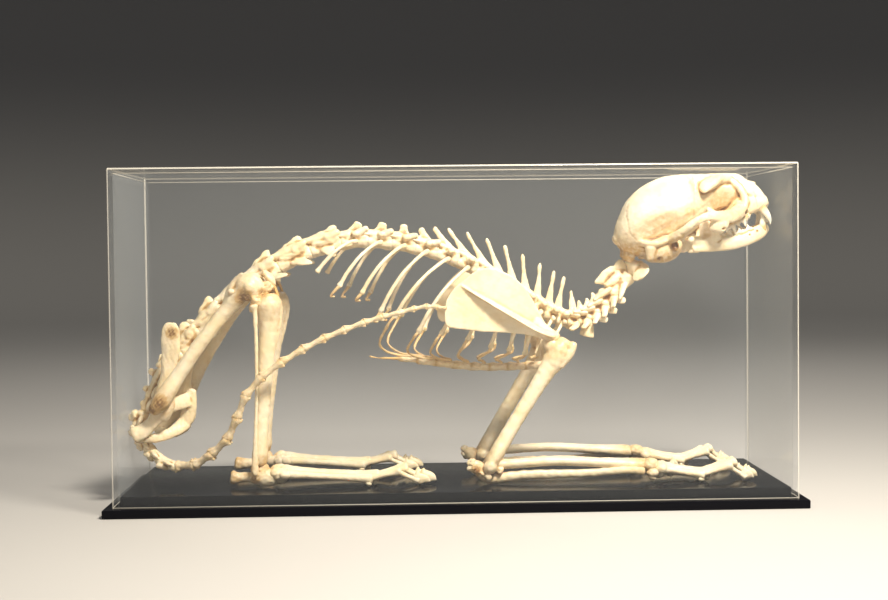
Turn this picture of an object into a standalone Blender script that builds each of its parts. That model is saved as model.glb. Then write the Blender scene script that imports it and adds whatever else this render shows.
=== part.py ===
"""Life-size museum model of a cat skeleton, crouching with its head raised, in a clear case.

The frame has its origin under the middle of the base, +X toward the cat's head and +Z up.
The cat's right side faces -Y. Working units are millimetres, turned into metres at the end.
"""
import math

import bmesh
import bpy
from mathutils import Vector

for old in list(bpy.data.objects):
    bpy.data.objects.remove(old, do_unlink=True)

MM = 0.001
GAP = 0.35

# Display case
COVER_LONG = 386.6
COVER_DEEP = 126.0
COVER_TALL = 190.0
WALL = 3.0
BASE_LIP = 5.0
BASE_THICK = 5.0
RISER_THICK = 6.0
RISER_INSET = 0.8
FLOOR = BASE_THICK + RISER_THICK

# Middle planes across the case
BODY_Y = -6.0
SKULL_Y = -12.0
TAIL_Y = -45.0

# Skull
NOSE = (189.3, 162.1)
HEAD_PITCH = 18.0

# Colours
BONE = (0.80, 0.68, 0.44, 1.0)
BLACK = (0.012, 0.012, 0.014, 1.0)
CLEAR = (0.93, 0.96, 0.97, 1.0)


# Shapes: each is a list of rows with the direction of its width and its number of sides

def tube(rows, side=(0, 1, 0), sides=6, axis=None):
    """A loft through rows of x, y, z, half width along side and half height across it."""
    return [(list(rows), tuple(side), sides, axis)]


def bead(centre, half, wide, high=None, along=(1, 0, 0), side=(0, 1, 0), sides=6, rings=4):
    """An egg shape, half long, wide and high, that points along a direction."""
    high = wide if high is None else high
    middle = Vector(centre)
    way = Vector(along).normalized()
    rows = []
    for i in range(rings):
        angle = math.pi * (i + 0.5) / rings
        spot = middle - way * (half * math.cos(angle) / math.cos(0.5 * math.pi / rings))
        size = math.sin(angle)
        rows.append((*spot, wide * size, high * size))
    return tube(rows, side, sides)


def spike(root, tip, thick, point=0.3, side=(0, 1, 0), sides=4):
    """A straight taper, for a tooth or a process."""
    return tube([(*root, thick, thick), (*tip, point, point)], side, sides)


def place(shapes, origin, x_way, y_way, z_way):
    """Moves shapes from a bone's own frame to the model's frame."""
    out = []
    base = Vector(origin)
    ways = [Vector(x_way), Vector(y_way), Vector(z_way)]

    def turn(v):
        return ways[0] * v[0] + ways[1] * v[1] + ways[2] * v[2]

    for rows, side, sides, axis in shapes:
        moved = [(*(base + turn(row[:3])), *row[3:]) for row in rows]
        out.append((moved, tuple(turn(side)), sides, tuple(turn(axis)) if axis else None))
    return out


def mirrored(shapes):
    """Both sides of a bone that is even about its own middle plane."""
    return shapes + place(shapes, (0, 0, 0), (1, 0, 0), (0, -1, 0), (0, 0, 1))


def limb(shapes, top, end, front, outward, length):
    """Sets a limb bone from its top to its end, its front and outer side as given."""
    top = Vector(top)
    down = Vector(end) - top
    scale = down.length / length
    down.normalize()
    ahead = Vector(front)
    ahead = (ahead - down * ahead.dot(down)).normalized()
    across = down.cross(ahead)
    if across.y * outward < 0:
        across = -across
    return place(shapes, top, ahead, across, down * scale)


def mix(a, b, f):
    return a + (b - a) * f


# Spine: middle of each vertebra's body, seen from the side

NECK = [(109.7, 134.4), (99.8, 125.5), (92.8, 117.4), (87.9, 111.9), (83.1, 108.0), (77.8, 105.2),
        (71.9, 103.9)]
CHEST = [(65.4, 104.4), (58.6, 107.2), (51.4, 111.2), (44.2, 116.0), (36.6, 120.9), (28.3, 126.3),
         (19.2, 131.9), (8.7, 137.6), (-2.8, 142.8), (-15.6, 147.1), (-29.0, 150.4),
         (-43.0, 152.4), (-57.6, 152.8)]
LOIN = [(-74.8, 149.8), (-93.4, 142.8), (-111.6, 132.4), (-127.6, 120.2), (-141.8, 106.6),
        (-154.2, 93.4), (-164.2, 82.4)]
SACRAL = [(-171.0, 73.2), (-175.8, 65.0), (-179.6, 57.2)]
LOIN_TIPS = [(-70.6, 162.8), (-92.5, 156.6), (-110.8, 148.3), (-128.6, 132.8), (-146.0, 121.2),
             (-161.0, 106.4), (-173.6, 87.4)]
NECK_TIPS = [None, None, (87.1, 122.5), (83.2, 120.8), (80.0, 117.8), (75.2, 116.6), (70.8, 122.1)]
CHEST_TIPS = [(66.7, 130.6), (60.9, 134.2), (52.5, 138.9), (42.0, 144.5), (31.6, 149.6),
              (20.7, 153.9), (9.0, 157.8), (-2.3, 160.4), (-10.6, 160.9), (-18.6, 160.6),
              (-28.8, 162.8), (-40.6, 163.9), (-55.2, 164.2)]


def spine_frame(path, i):
    """Middle of a vertebra, with its forward and upward directions."""
    here = path[i]
    ahead = path[max(i - 1, 0)]
    behind = path[min(i + 1, len(path) - 1)]
    way = Vector((ahead[0] - behind[0], 0, ahead[1] - behind[1]))
    way.normalize()
    up = Vector((-way.z, 0, way.x))
    return here, way, up


SPINE = NECK + CHEST + LOIN + SACRAL
NECK_FIRST = 0
CHEST_FIRST = len(NECK)
LOIN_FIRST = CHEST_FIRST + len(CHEST)
SACRAL_FIRST = LOIN_FIRST + len(LOIN)


def spine_y(i):
    """The neck leans out a little, toward the skull's plane."""
    if i >= CHEST_FIRST:
        return BODY_Y
    return mix(SKULL_Y, BODY_Y, i / CHEST_FIRST)


def set_vertebra(shapes, i):
    here, way, up = spine_frame(SPINE, i)
    return place(shapes, (here[0], spine_y(i), here[1]), way, (0, 1, 0), up)


def own_point(i, spot):
    """A side-view point in the frame of one vertebra."""
    here, way, up = spine_frame(SPINE, i)
    off = Vector((spot[0] - here[0], 0, spot[1] - here[1]))
    return off.dot(way), off.dot(up)


def body(length, wide, high):
    half = length / 2
    return tube([(-half, 0, 0, wide, high), (0, 0, 0, wide * 0.84, high * 0.84),
                 (half, 0, 0, wide, high)], sides=6)


def cord(path, first, count, thick):
    """The dried ligament that runs through a row of vertebrae."""
    rows = []
    for i in range(first, first + count):
        here = path[i]
        rows.append((here[0], spine_y(i), here[1], thick, thick))
    return tube(rows, sides=4)


def neck():
    shapes = cord(SPINE, 0, len(NECK), 2.2)
    atlas = bead((0, 0, 1.5), 5.2, 8.5, 7.5, sides=8)
    wing = tube([(0.5, 4, 0, 5.0, 2.4), (-0.5, 11, -1.5, 5.6, 1.5), (-2.5, 17, -3, 4.6, 1.0)],
                side=(1, 0, 0), sides=4)
    shapes += set_vertebra(atlas + mirrored(wing), 0)
    tail_x, tail_z = own_point(1, (84.9, 127.4))
    nose_x, nose_z = own_point(1, (99.0, 141.6))
    axis = body(13, 5.0, 4.6)
    axis += tube([(tail_x, 0, tail_z, 1.3, 1.4), (mix(tail_x, 0, 0.6), 0, tail_z - 2.5, 1.5, 4.2),
                  (mix(nose_x, 0, 0.5), 0, nose_z - 5.5, 1.2, 5.2),
                  (nose_x, 0, nose_z - 1.6, 0.9, 1.8)])
    axis += tube([(-4, 0, 5, 4.8, 2.6), (3.5, 0, 5.5, 4.2, 2.6)])
    axis += mirrored(tube([(1, 3, -1, 1.8, 2.0), (-5.5, 8.5, -3.6, 1.0, 1.2)], side=(1, 0, 0), sides=4))
    shapes += set_vertebra(axis, 1)
    for i in range(2, len(NECK)):
        tip_x, tip_z = own_point(i, NECK_TIPS[i])
        bone = body(7.0, 4.2, 3.6)
        bone += tube([(-3.0, 0, 5.4, 6.4, 2.2), (3.0, 0, 5.0, 6.8, 2.2)])
        bone += tube([(-0.5, 0, 6.2, 1.4, 2.2), (tip_x, 0, tip_z, 0.8, 0.9)], sides=4)
        bone += mirrored(tube([(1.0, 3, -0.6, 2.4, 1.6), (-0.8, 9.5, -3.6, 2.6, 1.0)],
                              side=(1, 0, 0), sides=4))
        if i == 5:
            bone += mirrored(tube([(3, 4, -2, 2.0, 1.4), (-2, 6, -9.5, 4.2, 0.9)],
                                  side=(1, 0, 0), sides=4))
        elif i < 5:
            bone += mirrored(tube([(2, 4, -1.5, 1.8, 1.2), (4.0, 6.2, -6.6, 2.2, 0.8)],
                                  side=(1, 0, 0), sides=4))
        shapes += set_vertebra(bone, i)
    return shapes


def chest():
    shapes = cord(SPINE, CHEST_FIRST, len(CHEST), 2.4)
    for n in range(len(CHEST)):
        i = CHEST_FIRST + n
        tip_x, tip_z = own_point(i, CHEST_TIPS[n])
        late = max(0.0, (n - 8) / 4)
        long = mix(7.4, 10.2, n / 12) + 2.2 * late
        bone = body(long, mix(3.8, 4.6, late), mix(3.3, 4.0, late))
        bone += tube([(-long * 0.42, 0, 4.2, 3.0, 2.2), (long * 0.36, 0, 4.0, 3.8, 2.6)], sides=6)
        broad = mix(1.9, 3.2, late)
        bone += tube([(-0.5, 0, 4.8, 1.3, broad + 0.7),
                      (mix(0, tip_x, 0.6), 0, mix(4.8, tip_z, 0.6), 0.9, broad * 0.8),
                      (tip_x, 0, tip_z, 0.9, broad * 0.62)], sides=4)
        reach = mix(8.6, 5.6, late)
        bone += mirrored(tube([(1.0, 2, 3.6, 1.9, 1.6), (0.6, reach, 4.2, 1.5, 1.3)],
                              side=(1, 0, 0), sides=4))
        shapes += set_vertebra(bone, i)
    return shapes


def loin():
    shapes = cord(SPINE, LOIN_FIRST, len(LOIN), 3.0)
    lengths = (15.8, 17.4, 18.0, 18.0, 17.6, 15.6, 12.0)
    for n in range(len(LOIN)):
        i = LOIN_FIRST + n
        long = lengths[n]
        wide = mix(5.0, 6.2, n / 6)
        bone = body(long, wide, mix(4.2, 4.8, n / 6))
        bone += tube([(-long * 0.46, 0, 5.6, 4.0, 3.2), (long * 0.36, 0, 5.4, 5.0, 3.6)], sides=6)
        lean, high = own_point(i, LOIN_TIPS[n])
        bone += tube([(-long * 0.04, 0, 6.0, 1.5, 5.8), (mix(-long * 0.04, lean, 0.7), 0, mix(6.0, high, 0.7),
                                                         1.0, 4.0),
                      (lean, 0, high - 0.8, 1.0, 2.4)], sides=4)
        reach = (8.5, 11.0, 12.4, 12.6, 13.2, 12.0, 9.6)[n]
        bone += mirrored(tube([(0.5, 3.5, 0, 4.2, 1.6), (mix(2.5, 7.5, n / 6), mix(3.5, reach, 0.6),
                                                         -2.4, 2.8, 1.1),
                               (mix(5.5, 12.5, n / 6), reach, -4.4, 1.6, 0.7)],
                              side=(1, 0, 0), sides=4))
        bone += mirrored(spike((long * 0.32, 4.2, 6.5), (long * 0.52, 5.4, 10.6), 2.1, 1.4))
        bone += mirrored(spike((-long * 0.3, 2.6, 6.5), (-long * 0.62, 3.0, 8.6), 1.8, 1.2))
        shapes += set_vertebra(bone, i)
    return shapes


def sacrum():
    shapes = cord(SPINE, SACRAL_FIRST, len(SACRAL), 3.6)
    for n in range(len(SACRAL)):
        i = SACRAL_FIRST + n
        size = 1.0 - 0.2 * n
        bone = body(9.0, 6.4 * size, 4.4 * size)
        bone += tube([(-4.5, 0, 4.4 * size, 5.0 * size, 2.4), (4, 0, 4.8 * size, 5.6 * size, 2.4)])
        bone += tube([(-1, 0, 5 * size, 1.2, 2.6), (-1.6, 0, 10.6 * size, 0.9, 1.8)], sides=4)
        reach = (12.0, 9.0, 7.6)[n]
        bone += mirrored(tube([(0.5, 3, 0, 5.0, 2.6), (0.5, reach, 0, (5.6, 4.6, 3.6)[n], 2.0)],
                              side=(1, 0, 0), sides=4))
        shapes += set_vertebra(bone, i)
    return shapes


# Tail: a route from the rump, under the seat and up along the right side

TAIL_ROUTE = [(-182.0, -7, 52.4), (-184.0, -8, 46.0), (-183.6, -9, 39.6), (-179.6, -12, 33.4),
              (-171.5, -17, 25.6), (-161.0, -22, 22.6), (-150.0, -27, 24.6), (-139.5, -31, 32.5),
              (-129.8, -36, 42.5), (-124.0, -40, 56.5), (-117.0, -43.5, 70.5), (-101.0, TAIL_Y, 83.5),
              (-78.0, TAIL_Y, 96.6), (-50.0, TAIL_Y, 107.4), (-30.0, TAIL_Y, 112.6),
              (-16.0, TAIL_Y, 115.6), (-5.0, TAIL_Y, 114.2)]
TAIL_LENGTHS = ([7.2, 7.6, 8.4, 9.6, 11.0] + [12.6, 13.6, 14.2, 14.6, 14.8, 14.8, 14.6]
                + [14.2, 13.6, 12.8, 12.0, 11.0, 10.0, 8.6, 7.4, 6.2, 5.0])
TAIL_PARTS = (("tail_base", 0, 5), ("tail_middle", 5, 12), ("tail_tip", 12, 22))


def curve_points(route, steps=8):
    """A smooth line through route."""
    pts = [Vector(p) for p in route]
    pts = [pts[0] * 2 - pts[1]] + pts + [pts[-1] * 2 - pts[-2]]
    out = []
    for i in range(1, len(pts) - 2):
        a, b, c, d = pts[i - 1:i + 3]
        for k in range(steps):
            f = k / steps
            out.append(0.5 * (2 * b + (c - a) * f + (2 * a - 5 * b + 4 * c - d) * f * f
                              + (3 * b - a - 3 * c + d) * f ** 3))
    out.append(pts[-2])
    return out


def along(points, distance):
    """The spot on a line at a distance from its start."""
    left = distance
    for a, b in zip(points, points[1:]):
        step = (b - a).length
        if left <= step:
            return a + (b - a) * (left / step)
        left -= step
    return points[-1]


def tail(first, last):
    points = curve_points(TAIL_ROUTE)
    total = sum((b - a).length for a, b in zip(points, points[1:]))
    stretch = (total - 0.2) / sum(TAIL_LENGTHS)
    shapes = []
    start = sum(TAIL_LENGTHS[:first])
    rows = []
    for n in range(first, last):
        long = TAIL_LENGTHS[n]
        knob = mix(4.6, 1.5, min(1.0, (n / 21) ** 0.62))
        waist = knob * mix(0.78, 0.62, min(1.0, n / 6))
        for f, size in ((0.07, knob), (0.26, waist), (0.74, waist), (0.93, knob)):
            if n > 4 and f == 0.26:
                continue
            spot = along(points, (start + long * f) * stretch)
            rows.append((*spot, size, size * 0.92))
        if n < 5:
            spot = along(points, (start + long * 0.4) * stretch)
            ahead = along(points, (start + long * 0.1) * stretch)
            way = (ahead - spot).normalized()
            up = Vector((-way.z, 0, way.x))
            wing = tube([(0, 1, 0, 2.4, 1.3), (-1.5, (8.6, 8.0, 7.0, 6.0, 4.8)[n], -0.5, 1.5, 0.9)],
                        side=(1, 0, 0), sides=4)
            crest = spike((0.5, 0, 2), (-1.0, 0, (5.6, 5.4, 5.2, 4.6, 3.8)[n]), 1.7, 0.9)
            shapes += place(mirrored(wing) + crest, spot, way, (0, 1, 0), up)
        start += long
    return tube(rows, sides=6) + shapes


# Ribs: lower end and greatest reach to the side, front to back

RIB_ENDS = [(57.0, 85.0), (50.0, 84.5), (42.0, 85.5), (32.5, 88.0), (21.5, 90.0), (8.0, 95.0),
            (-7.5, 98.5), (-20.9, 99.8), (-34.8, 108.6), (-42.6, 112.2), (-53.4, 123.0),
            (-66.4, 127.2), (-79.4, 135.6)]
RIB_REACH = [10.5, 14.0, 17.0, 19.5, 21.5, 23.5, 25.5, 27.0, 28.0, 28.5, 28.0, 25.0, 19.0]
RIB_END_REACH = [7.5, 9.0, 11.0, 13.0, 15.0, 18.0, 20.5, 22.5, 25.0, 26.5, 27.0, 24.5, 19.0]
BREAST_SPOTS = [(57.5, 81.6), (48.5, 80.8), (39.0, 80.2), (29.0, 79.9), (19.0, 80.0), (9.0, 80.7),
                (-1.0, 81.8), (-9.5, 82.8), (-17.5, 84.4)]


def rib(n):
    """One rib of the left side, with its cartilage, about the body's middle plane."""
    here, way, up = spine_frame(SPINE, CHEST_FIRST + n)
    head = Vector((here[0], 0, here[1])) + way * 1.2 + up * 0.4
    end = Vector((RIB_ENDS[n][0], 0, RIB_ENDS[n][1]))
    run = end - head
    bow = Vector((run.z, 0, -run.x)) * 0.075
    rows = []
    for f, reach, rise, thick in ((0.0, 4.6, 0.0, 1.3), (0.05, 9.8, 0.4, 1.4), (0.2, 0.0, 1.2, 1.3),
                                  (0.44, 0.0, 0.8, 1.1), (0.7, 0.0, 0.3, 1.15), (1.0, 0.0, 0.0, 1.35)):
        spot = head + run * f + bow * math.sin(math.pi * f) + up * rise
        if reach:
            y = reach
        elif f < 0.9:
            y = RIB_REACH[n] * (1.0 - 0.62 * (1.0 - f / 0.62) ** 2 if f < 0.62 else 1.0)
        else:
            y = RIB_END_REACH[n]
        rows.append((spot.x, max(y, reach), spot.z, 0.75 * thick, thick * mix(1.0, 1.25, f)))
    shapes = tube(rows, sides=4)
    if n < 9:
        goal = BREAST_SPOTS[n]
        start = Vector((end.x, RIB_END_REACH[n], end.z))
        stop = Vector((goal[0], 3.2, goal[1]))
        drop = max(0.0, start.z - stop.z - 3)
        knee = Vector((start.x - 2.5 - 0.1 * drop, mix(start.y, 3.2, 0.3), mix(start.z, stop.z, 0.72)))
        rows = []
        for k in range(4):
            f = k / 3
            spot = start * (1 - f) ** 2 + knee * (2 * f * (1 - f)) + stop * f ** 2
            rows.append((*spot, 1.1, 1.2))
        rows[0] = (*(start + (start - rows_point(rows, 1)) * 0.25), 1.3, 1.4)
        shapes += tube(rows, sides=4)
    elif n < 12:
        tip = end + Vector((1.5 - n + 9, -1.5, -6.5 + (n - 9)))
        tip.y = RIB_END_REACH[n] - 3
        mid = (Vector((end.x, RIB_END_REACH[n], end.z)) + tip) / 2 + Vector((-2, 0, 0))
        shapes += tube([(end.x + 0.6, RIB_END_REACH[n], end.z + 1, 1.2, 1.3), (*mid, 1.0, 1.0),
                        (*tip, 0.6, 0.6)], sides=4)
    return shapes


def rows_point(rows, i):
    return Vector(rows[i][:3])


def ribs(outward):
    shapes = []
    strip = []
    for n in range(len(CHEST)):
        shapes += rib(n)
        here, way, up = spine_frame(SPINE, CHEST_FIRST + n)
        spot = Vector((here[0], 0, here[1])) + way * 1.2 - up * 0.2
        strip.append((spot.x, 6.2, spot.z, 0.7, 1.0))
    shapes += tube(strip, sides=4)
    return place(shapes, (0, BODY_Y, 0), (1, 0, 0), (0, outward, 0), (0, 0, 1))


def sternum():
    line = [(-50.0, 83.6), (-36.0, 83.2), (-25.0, 82.4), (-9.0, 80.4), (3.5, 78.6), (16.0, 77.6),
            (30.0, 77.5), (44.0, 77.9), (56.0, 79.0), (64.0, 82.0)]
    points = curve_points([(x, BODY_Y, z) for x, z in line], 4)
    rows = []
    count = 17
    total = sum((b - a).length for a, b in zip(points, points[1:]))
    for k in range(count):
        spot = along(points, total * k / (count - 1))
        size = 2.3 if k % 2 == 0 else 1.6
        if k == 0:
            size = 1.1
        elif k < 4:
            size = 1.3
        rows.append((*spot, size * 1.05, size))
    return tube(rows, sides=6)


# Limb bones: each in its own frame, x to the front, y outward, z from top to end

FEMUR_LONG = 86.4
TIBIA_LONG = 97.5
HUMERUS_LONG = 80.3


def femur():
    shapes = tube([(0, 1.5, -6, 3.6, 3.4), (-0.5, 1.5, 1, 6.2, 5.4), (0, 1, 10, 5.4, 5.0),
                   (0.8, 0, 22, 4.3, 4.3), (1.4, 0, 45, 4.1, 4.1), (0.8, 0, 66, 4.5, 4.3),
                   (0.4, 0, 76, 6.8, 5.6), (0, 0, 85, 8.0, 6.0)], sides=8)
    shapes += tube([(0, 0, 4, 3.6, 3.6), (0.4, -8.5, -1.5, 3.0, 3.0)], side=(1, 0, 0))
    shapes += bead((0.4, -10.6, -2.6), 4.6, 4.6, sides=8)
    shapes += mirrored(bead((-2.6, 4.9, 86.4), 4.2, 8.4, 8.4, along=(0, 1, 0), side=(1, 0, 0), sides=8))
    shapes += tube([(4.2, 0, 70, 2.4, 1.4), (5.8, 0, 80, 5.0, 2.6), (4.6, 0, 89, 5.2, 2.6)])
    return shapes


def tibia():
    shapes = tube([(-0.5, 0, -1.5, 8.0, 7.2), (0, 0, 1.5, 9.0, 8.2), (0.4, 0, 6, 8.0, 7.4),
                   (0.8, 0, 13, 5.8, 6.2), (0.8, 0, 24, 4.5, 5.2), (0.4, 0, 45, 3.9, 4.6),
                   (0, 0, 70, 3.8, 4.1), (0, 0, 86, 4.9, 4.2), (0, 0, 93, 6.4, 4.8),
                   (0, 0, 97, 6.0, 4.2)], sides=8)
    shapes += tube([(7.2, 0, 3, 2.4, 1.6), (7.0, -0.4, 12, 1.6, 1.6), (4.8, -0.6, 28, 1.0, 1.2)], sides=4)
    shapes += spike((-0.5, -5.2, 93), (-0.5, -5.6, 101.5), 2.4, 1.5)
    return shapes


def humerus():
    shapes = tube([(1.5, 0, -4.5, 4.4, 4.6), (1.2, 0, 0, 6.6, 7.2), (1.4, 0, 7, 6.4, 6.8),
                   (0.8, 0, 16, 5.0, 5.2), (0.4, 0, 32, 4.1, 4.4), (0, 0, 52, 4.0, 4.2),
                   (0, 0, 64, 5.4, 4.4), (0, 0, 72, 7.6, 4.4), (0, 0, 79, 8.2, 4.2)], sides=8)
    shapes += bead((-3.6, -1.0, 1.0), 5.8, 5.8, 5.8, sides=8)
    shapes += tube([(6.2, 2.4, 9, 2.6, 2.0), (6.6, 2.6, 0, 3.4, 3.0), (6.0, 2.4, -6.5, 2.4, 2.0)])
    shapes += tube([(0.4, -8.0, 80.5, 4.2, 4.2), (0.4, 0, 80.5, 3.5, 3.5), (0.4, 8.0, 80.5, 4.4, 4.4)],
                   side=(1, 0, 0), sides=8)
    return shapes


def forearm(elbow, wrist, outward):
    """Radius above and ulna below, from an elbow to a wrist that lie on the floor."""
    ex, ey, ez = elbow
    wx, wy, wz = wrist
    run = wx - ex
    radius = tube([(ex + 5.4, ey, ez + 0.9, 4.4, 3.6), (ex + 9.0, ey, ez + 0.8, 3.8, 3.0),
                   (ex + 14.5, ey + 0.6 * outward, ez + 0.9, 2.8, 2.5),
                   (ex + run * 0.45, ey + 0.6 * outward, ez + 2.3, 3.0, 2.4),
                   (ex + run * 0.78, ey, wz + 1.8, 3.6, 2.6), (wx - 7, wy - 0.6 * outward, wz + 0.8, 5.2, 3.4),
                   (wx - 1.0, wy - 0.6 * outward, wz + 0.4, 5.6, 3.8)], sides=8)
    low = FLOOR + GAP
    ulna = tube([(ex - 9.6, ey, ez + 0.8, 2.8, 3.0), (ex - 6.4, ey, ez - 1.4, 3.4, 4.2),
                 (ex - 1.0, ey, low + 3.2, 3.4, 3.2), (ex + 7.0, ey, low + 3.4, 3.0, 3.2),
                 (ex + 22, ey, low + 4.4, 2.2, 2.4), (ex + run * 0.6, ey + 0.4 * outward, low + 5.4, 1.7, 2.0),
                 (wx - 12, wy + 4.4 * outward, wz - 1.8, 1.6, 1.9),
                 (wx - 1.5, wy + 6.4 * outward, wz - 2.4, 1.9, 2.4)], sides=6)
    return radius, ulna


def toe(joints, thick, sides=5):
    """A row of toe bones through joints, with knobs at the joints and a claw at the end."""
    shapes = []
    for n in range(len(joints) - 2):
        a, b = Vector(joints[n]), Vector(joints[n + 1])
        t = thick * (1.0, 0.86, 0.74)[n]
        way = b - a
        shapes += tube([(*(a - way.normalized() * 0.3 * t), t * 0.95, t * 0.9),
                        (*(a + way * 0.24), t * 0.66, t * 0.62), (*(a + way * 0.76), t * 0.66, t * 0.62),
                        (*(b + way.normalized() * 0.5 * t), t, t * 0.95)], sides=sides)
    a, b = Vector(joints[-2]), Vector(joints[-1])
    mid = (a + b) / 2 + Vector((0.6, 0, 1.6))
    t = thick * 0.7
    shapes += tube([(*(a - (mid - a) * 0.2), t * 0.9, t), (*mid, t * 0.62, t * 1.05), (*b, 0.3, 0.35)],
                   sides=4)
    return shapes


def forepaw(wrist, outward, reach, low=FLOOR + GAP):
    """Carpus, five metacarpals and toes, flat on the floor and pointing along +X."""
    wx, wy, wz = wrist
    inward = -outward
    shapes = tube([(wx + 0.2, wy, wz - 0.2, 5.6, 3.6), (wx + 3.6, wy, wz - 0.4, 6.6, 4.6),
                   (wx + 8.6, wy, low + 6.6, 6.8, 4.2), (wx + 12.0, wy, low + 6.0, 6.4, 3.4)], sides=8)
    shapes += tube([(wx + 3, wy + 4 * outward, low + 5.4, 2.4, 2.6), (wx + 2.6, wy + 5.4 * outward, low + 2.2, 2.4, 2.2)],
                   side=(1, 0, 0), sides=5)
    start = wx + 10.5
    for n, (spread, far, wide) in enumerate(((-6.0, -3.0, 2.5), (-2.2, 0.0, 2.7), (2.2, 0.0, 2.7),
                                             (6.0, -3.4, 2.5))):
        y0 = wy + spread * 0.72 * outward
        y1 = wy + spread * 1.02 * outward
        y2 = wy + spread * 1.42 * outward
        knuckle = wx + (reach * 0.54) + far
        shapes += toe([(start, y0, low + 5.8), (knuckle, y1, low + 3.0),
                       (wx + reach * 0.80 + far, y2, low + 8.6 - 0.4 * abs(spread) / 2),
                       (wx + reach * 0.93 + far, y2, low + 3.0),
                       (wx + reach + 1.0 + far, y2, low + 2.2)], wide)
    y = wy + 7.0 * inward
    shapes += toe([(start - 2.5, y, low + 4.2), (start + 5.5, y + 1.6 * inward, low + 3.0),
                   (start + 13.5, y + 2.2 * inward, low + 2.6), (start + 18.0, y + 2.2 * inward, low + 2.0)],
                  2.2)
    return shapes


def hindfoot(heel, ankle, outward, reach, low=FLOOR + GAP):
    """Heel bone, ankle, four metatarsals and toes, flat on the floor."""
    hx, hy, hz = heel
    ax, ay, az = ankle
    shapes = tube([(hx + 0.4, hy, hz - 0.6, 3.4, 3.8), (hx + 3.2, hy, hz - 0.8, 3.6, 3.6),
                   (hx + 8.4, hy, hz - 0.2, 3.0, 3.4), (ax + 2.0, ay + 2.6 * outward, low + 4.2, 4.2, 4.2),
                   (ax + 9.0, ay + 2.6 * outward, low + 3.8, 4.2, 3.6)], sides=6)
    shapes += bead((ax, ay - 0.8 * outward, az - 3.6), 5.0, 5.6, 4.6, along=(0, 1, 0), side=(1, 0, 0), sides=8)
    shapes += tube([(ax + 3.0, ay - 1.5 * outward, low + 6.6, 5.0, 3.4),
                    (ax + 10.0, ay, low + 6.2, 6.6, 4.4), (ax + 17.0, ay, low + 5.6, 6.8, 4.4)], sides=8)
    start = ax + 15.5
    for spread, far, wide in ((-6.2, -3.0, 2.5), (-2.1, 0.0, 2.7), (2.1, 0.0, 2.7), (6.2, -3.6, 2.5)):
        y0 = ay + spread * 0.74 * outward
        y1 = ay + spread * 0.98 * outward
        y2 = ay + spread * 1.3 * outward
        knuckle = hx + reach * 0.695 + far
        shapes += toe([(start, y0, low + 6.6), (knuckle, y1, low + 3.1),
                       (hx + reach * 0.84 + far, y2, low + 7.4), (hx + reach * 0.935 + far, y2, low + 3.0),
                       (hx + reach + far, y2, low + 2.4)], wide)
    return shapes


# Shoulder blade: outline from the side, and how far it leans out toward the back

BLADE = [(-3.5, 102.5), (-5.2, 115.4), (-1.0, 124.0), (5.9, 130.2), (13.0, 135.2), (20.8, 136.8),
         (31.8, 133.1), (40.0, 126.6), (47.6, 115.0), (53.2, 104.2), (58.6, 97.4), (56.2, 91.8),
         (50.0, 95.6), (36.8, 98.4), (16.0, 99.8)]
BLADE_THICK = 1.6


def blade_y(x):
    return mix(27.0, 23.0, (x + 5.0) / 63.0)


def scapula(outward, shift_x, shift_z):
    """Returns the plate's outline, and the loft shapes of its spine, neck and socket."""
    plate = [(x + shift_x, BODY_Y + blade_y(x) * outward, z + shift_z) for x, z in BLADE]
    rows = []
    for x, z, rise, thin in ((4.5, 126.6, 0.9, 0.7), (16.0, 120.6, 2.6, 0.7), (34.0, 110.6, 4.0, 0.8),
                             (49.0, 102.2, 4.4, 1.0), (57.6, 97.4, 2.4, 1.5)):
        lift = blade_y(x) + rise - 0.2 + (1.6 if x > 55 else 0.0)
        rows.append((x, lift, z, rise, thin))
    shapes = tube(rows, sides=4)
    shapes += tube([(46.0, blade_y(46), 104.4, 2.0, 4.6), (53.5, blade_y(53), 98.6, 3.6, 4.2),
                    (58.2, blade_y(57), 94.9, 4.8, 4.8)], sides=6)
    shapes = place(shapes, (shift_x, BODY_Y, shift_z), (1, 0, 0), (0, outward, 0), (0, 0, 1))
    return plate, shapes


# Pelvis: each half in a frame with y outward from its own middle, then turned a little

PELVIS_Y = -8.0
PELVIS_TURN = 0.21


def pelvis():
    half = tube([(-161.0, 17.0, 106.6, 1.3, 3.2), (-161.2, 17.2, 103.0, 1.6, 5.4),
                 (-161.6, 16.4, 94.0, 1.7, 6.0), (-163.0, 15.0, 84.0, 2.1, 5.2),
                 (-164.6, 14.2, 74.0, 3.0, 4.6), (-166.2, 14.6, 65.0, 4.0, 5.8),
                 (-167.2, 15.2, 57.0, 4.4, 6.6), (-168.6, 15.2, 51.5, 3.6, 5.4)], sides=8)
    half += tube([(-167.0, 15.2, 57.0, 4.0, 5.4), (-172.8, 15.6, 49.0, 2.8, 4.0),
                  (-178.6, 16.4, 43.6, 2.6, 3.8), (-183.0, 17.0, 40.6, 2.8, 4.2)], sides=6)
    half += tube([(-182.5, 16.0, 39.4, 2.0, 2.4), (-172.5, 10.5, 38.0, 1.6, 2.4),
                  (-164.0, 5.0, 40.8, 1.5, 2.4), (-158.4, 1.2, 45.0, 1.6, 2.6)], sides=5)
    half += tube([(-165.0, 13.2, 57.6, 3.0, 3.6), (-158.6, 7.0, 58.4, 1.9, 3.2),
                  (-154.4, 0.9, 57.6, 1.7, 3.4)], sides=5)
    half += tube([(-154.0, 0.8, 60.4, 1.4, 2.0), (-155.4, 0.8, 51.0, 1.4, 2.4),
                  (-160.6, 0.8, 43.4, 1.4, 2.2)], sides=5)
    return place(mirrored(half), (0, PELVIS_Y, 0), (1, 0, 0), (PELVIS_TURN, 1, 0), (0, 0, 1))


# Skull and lower jaw: x forward from the front teeth, z up, y outward

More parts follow.
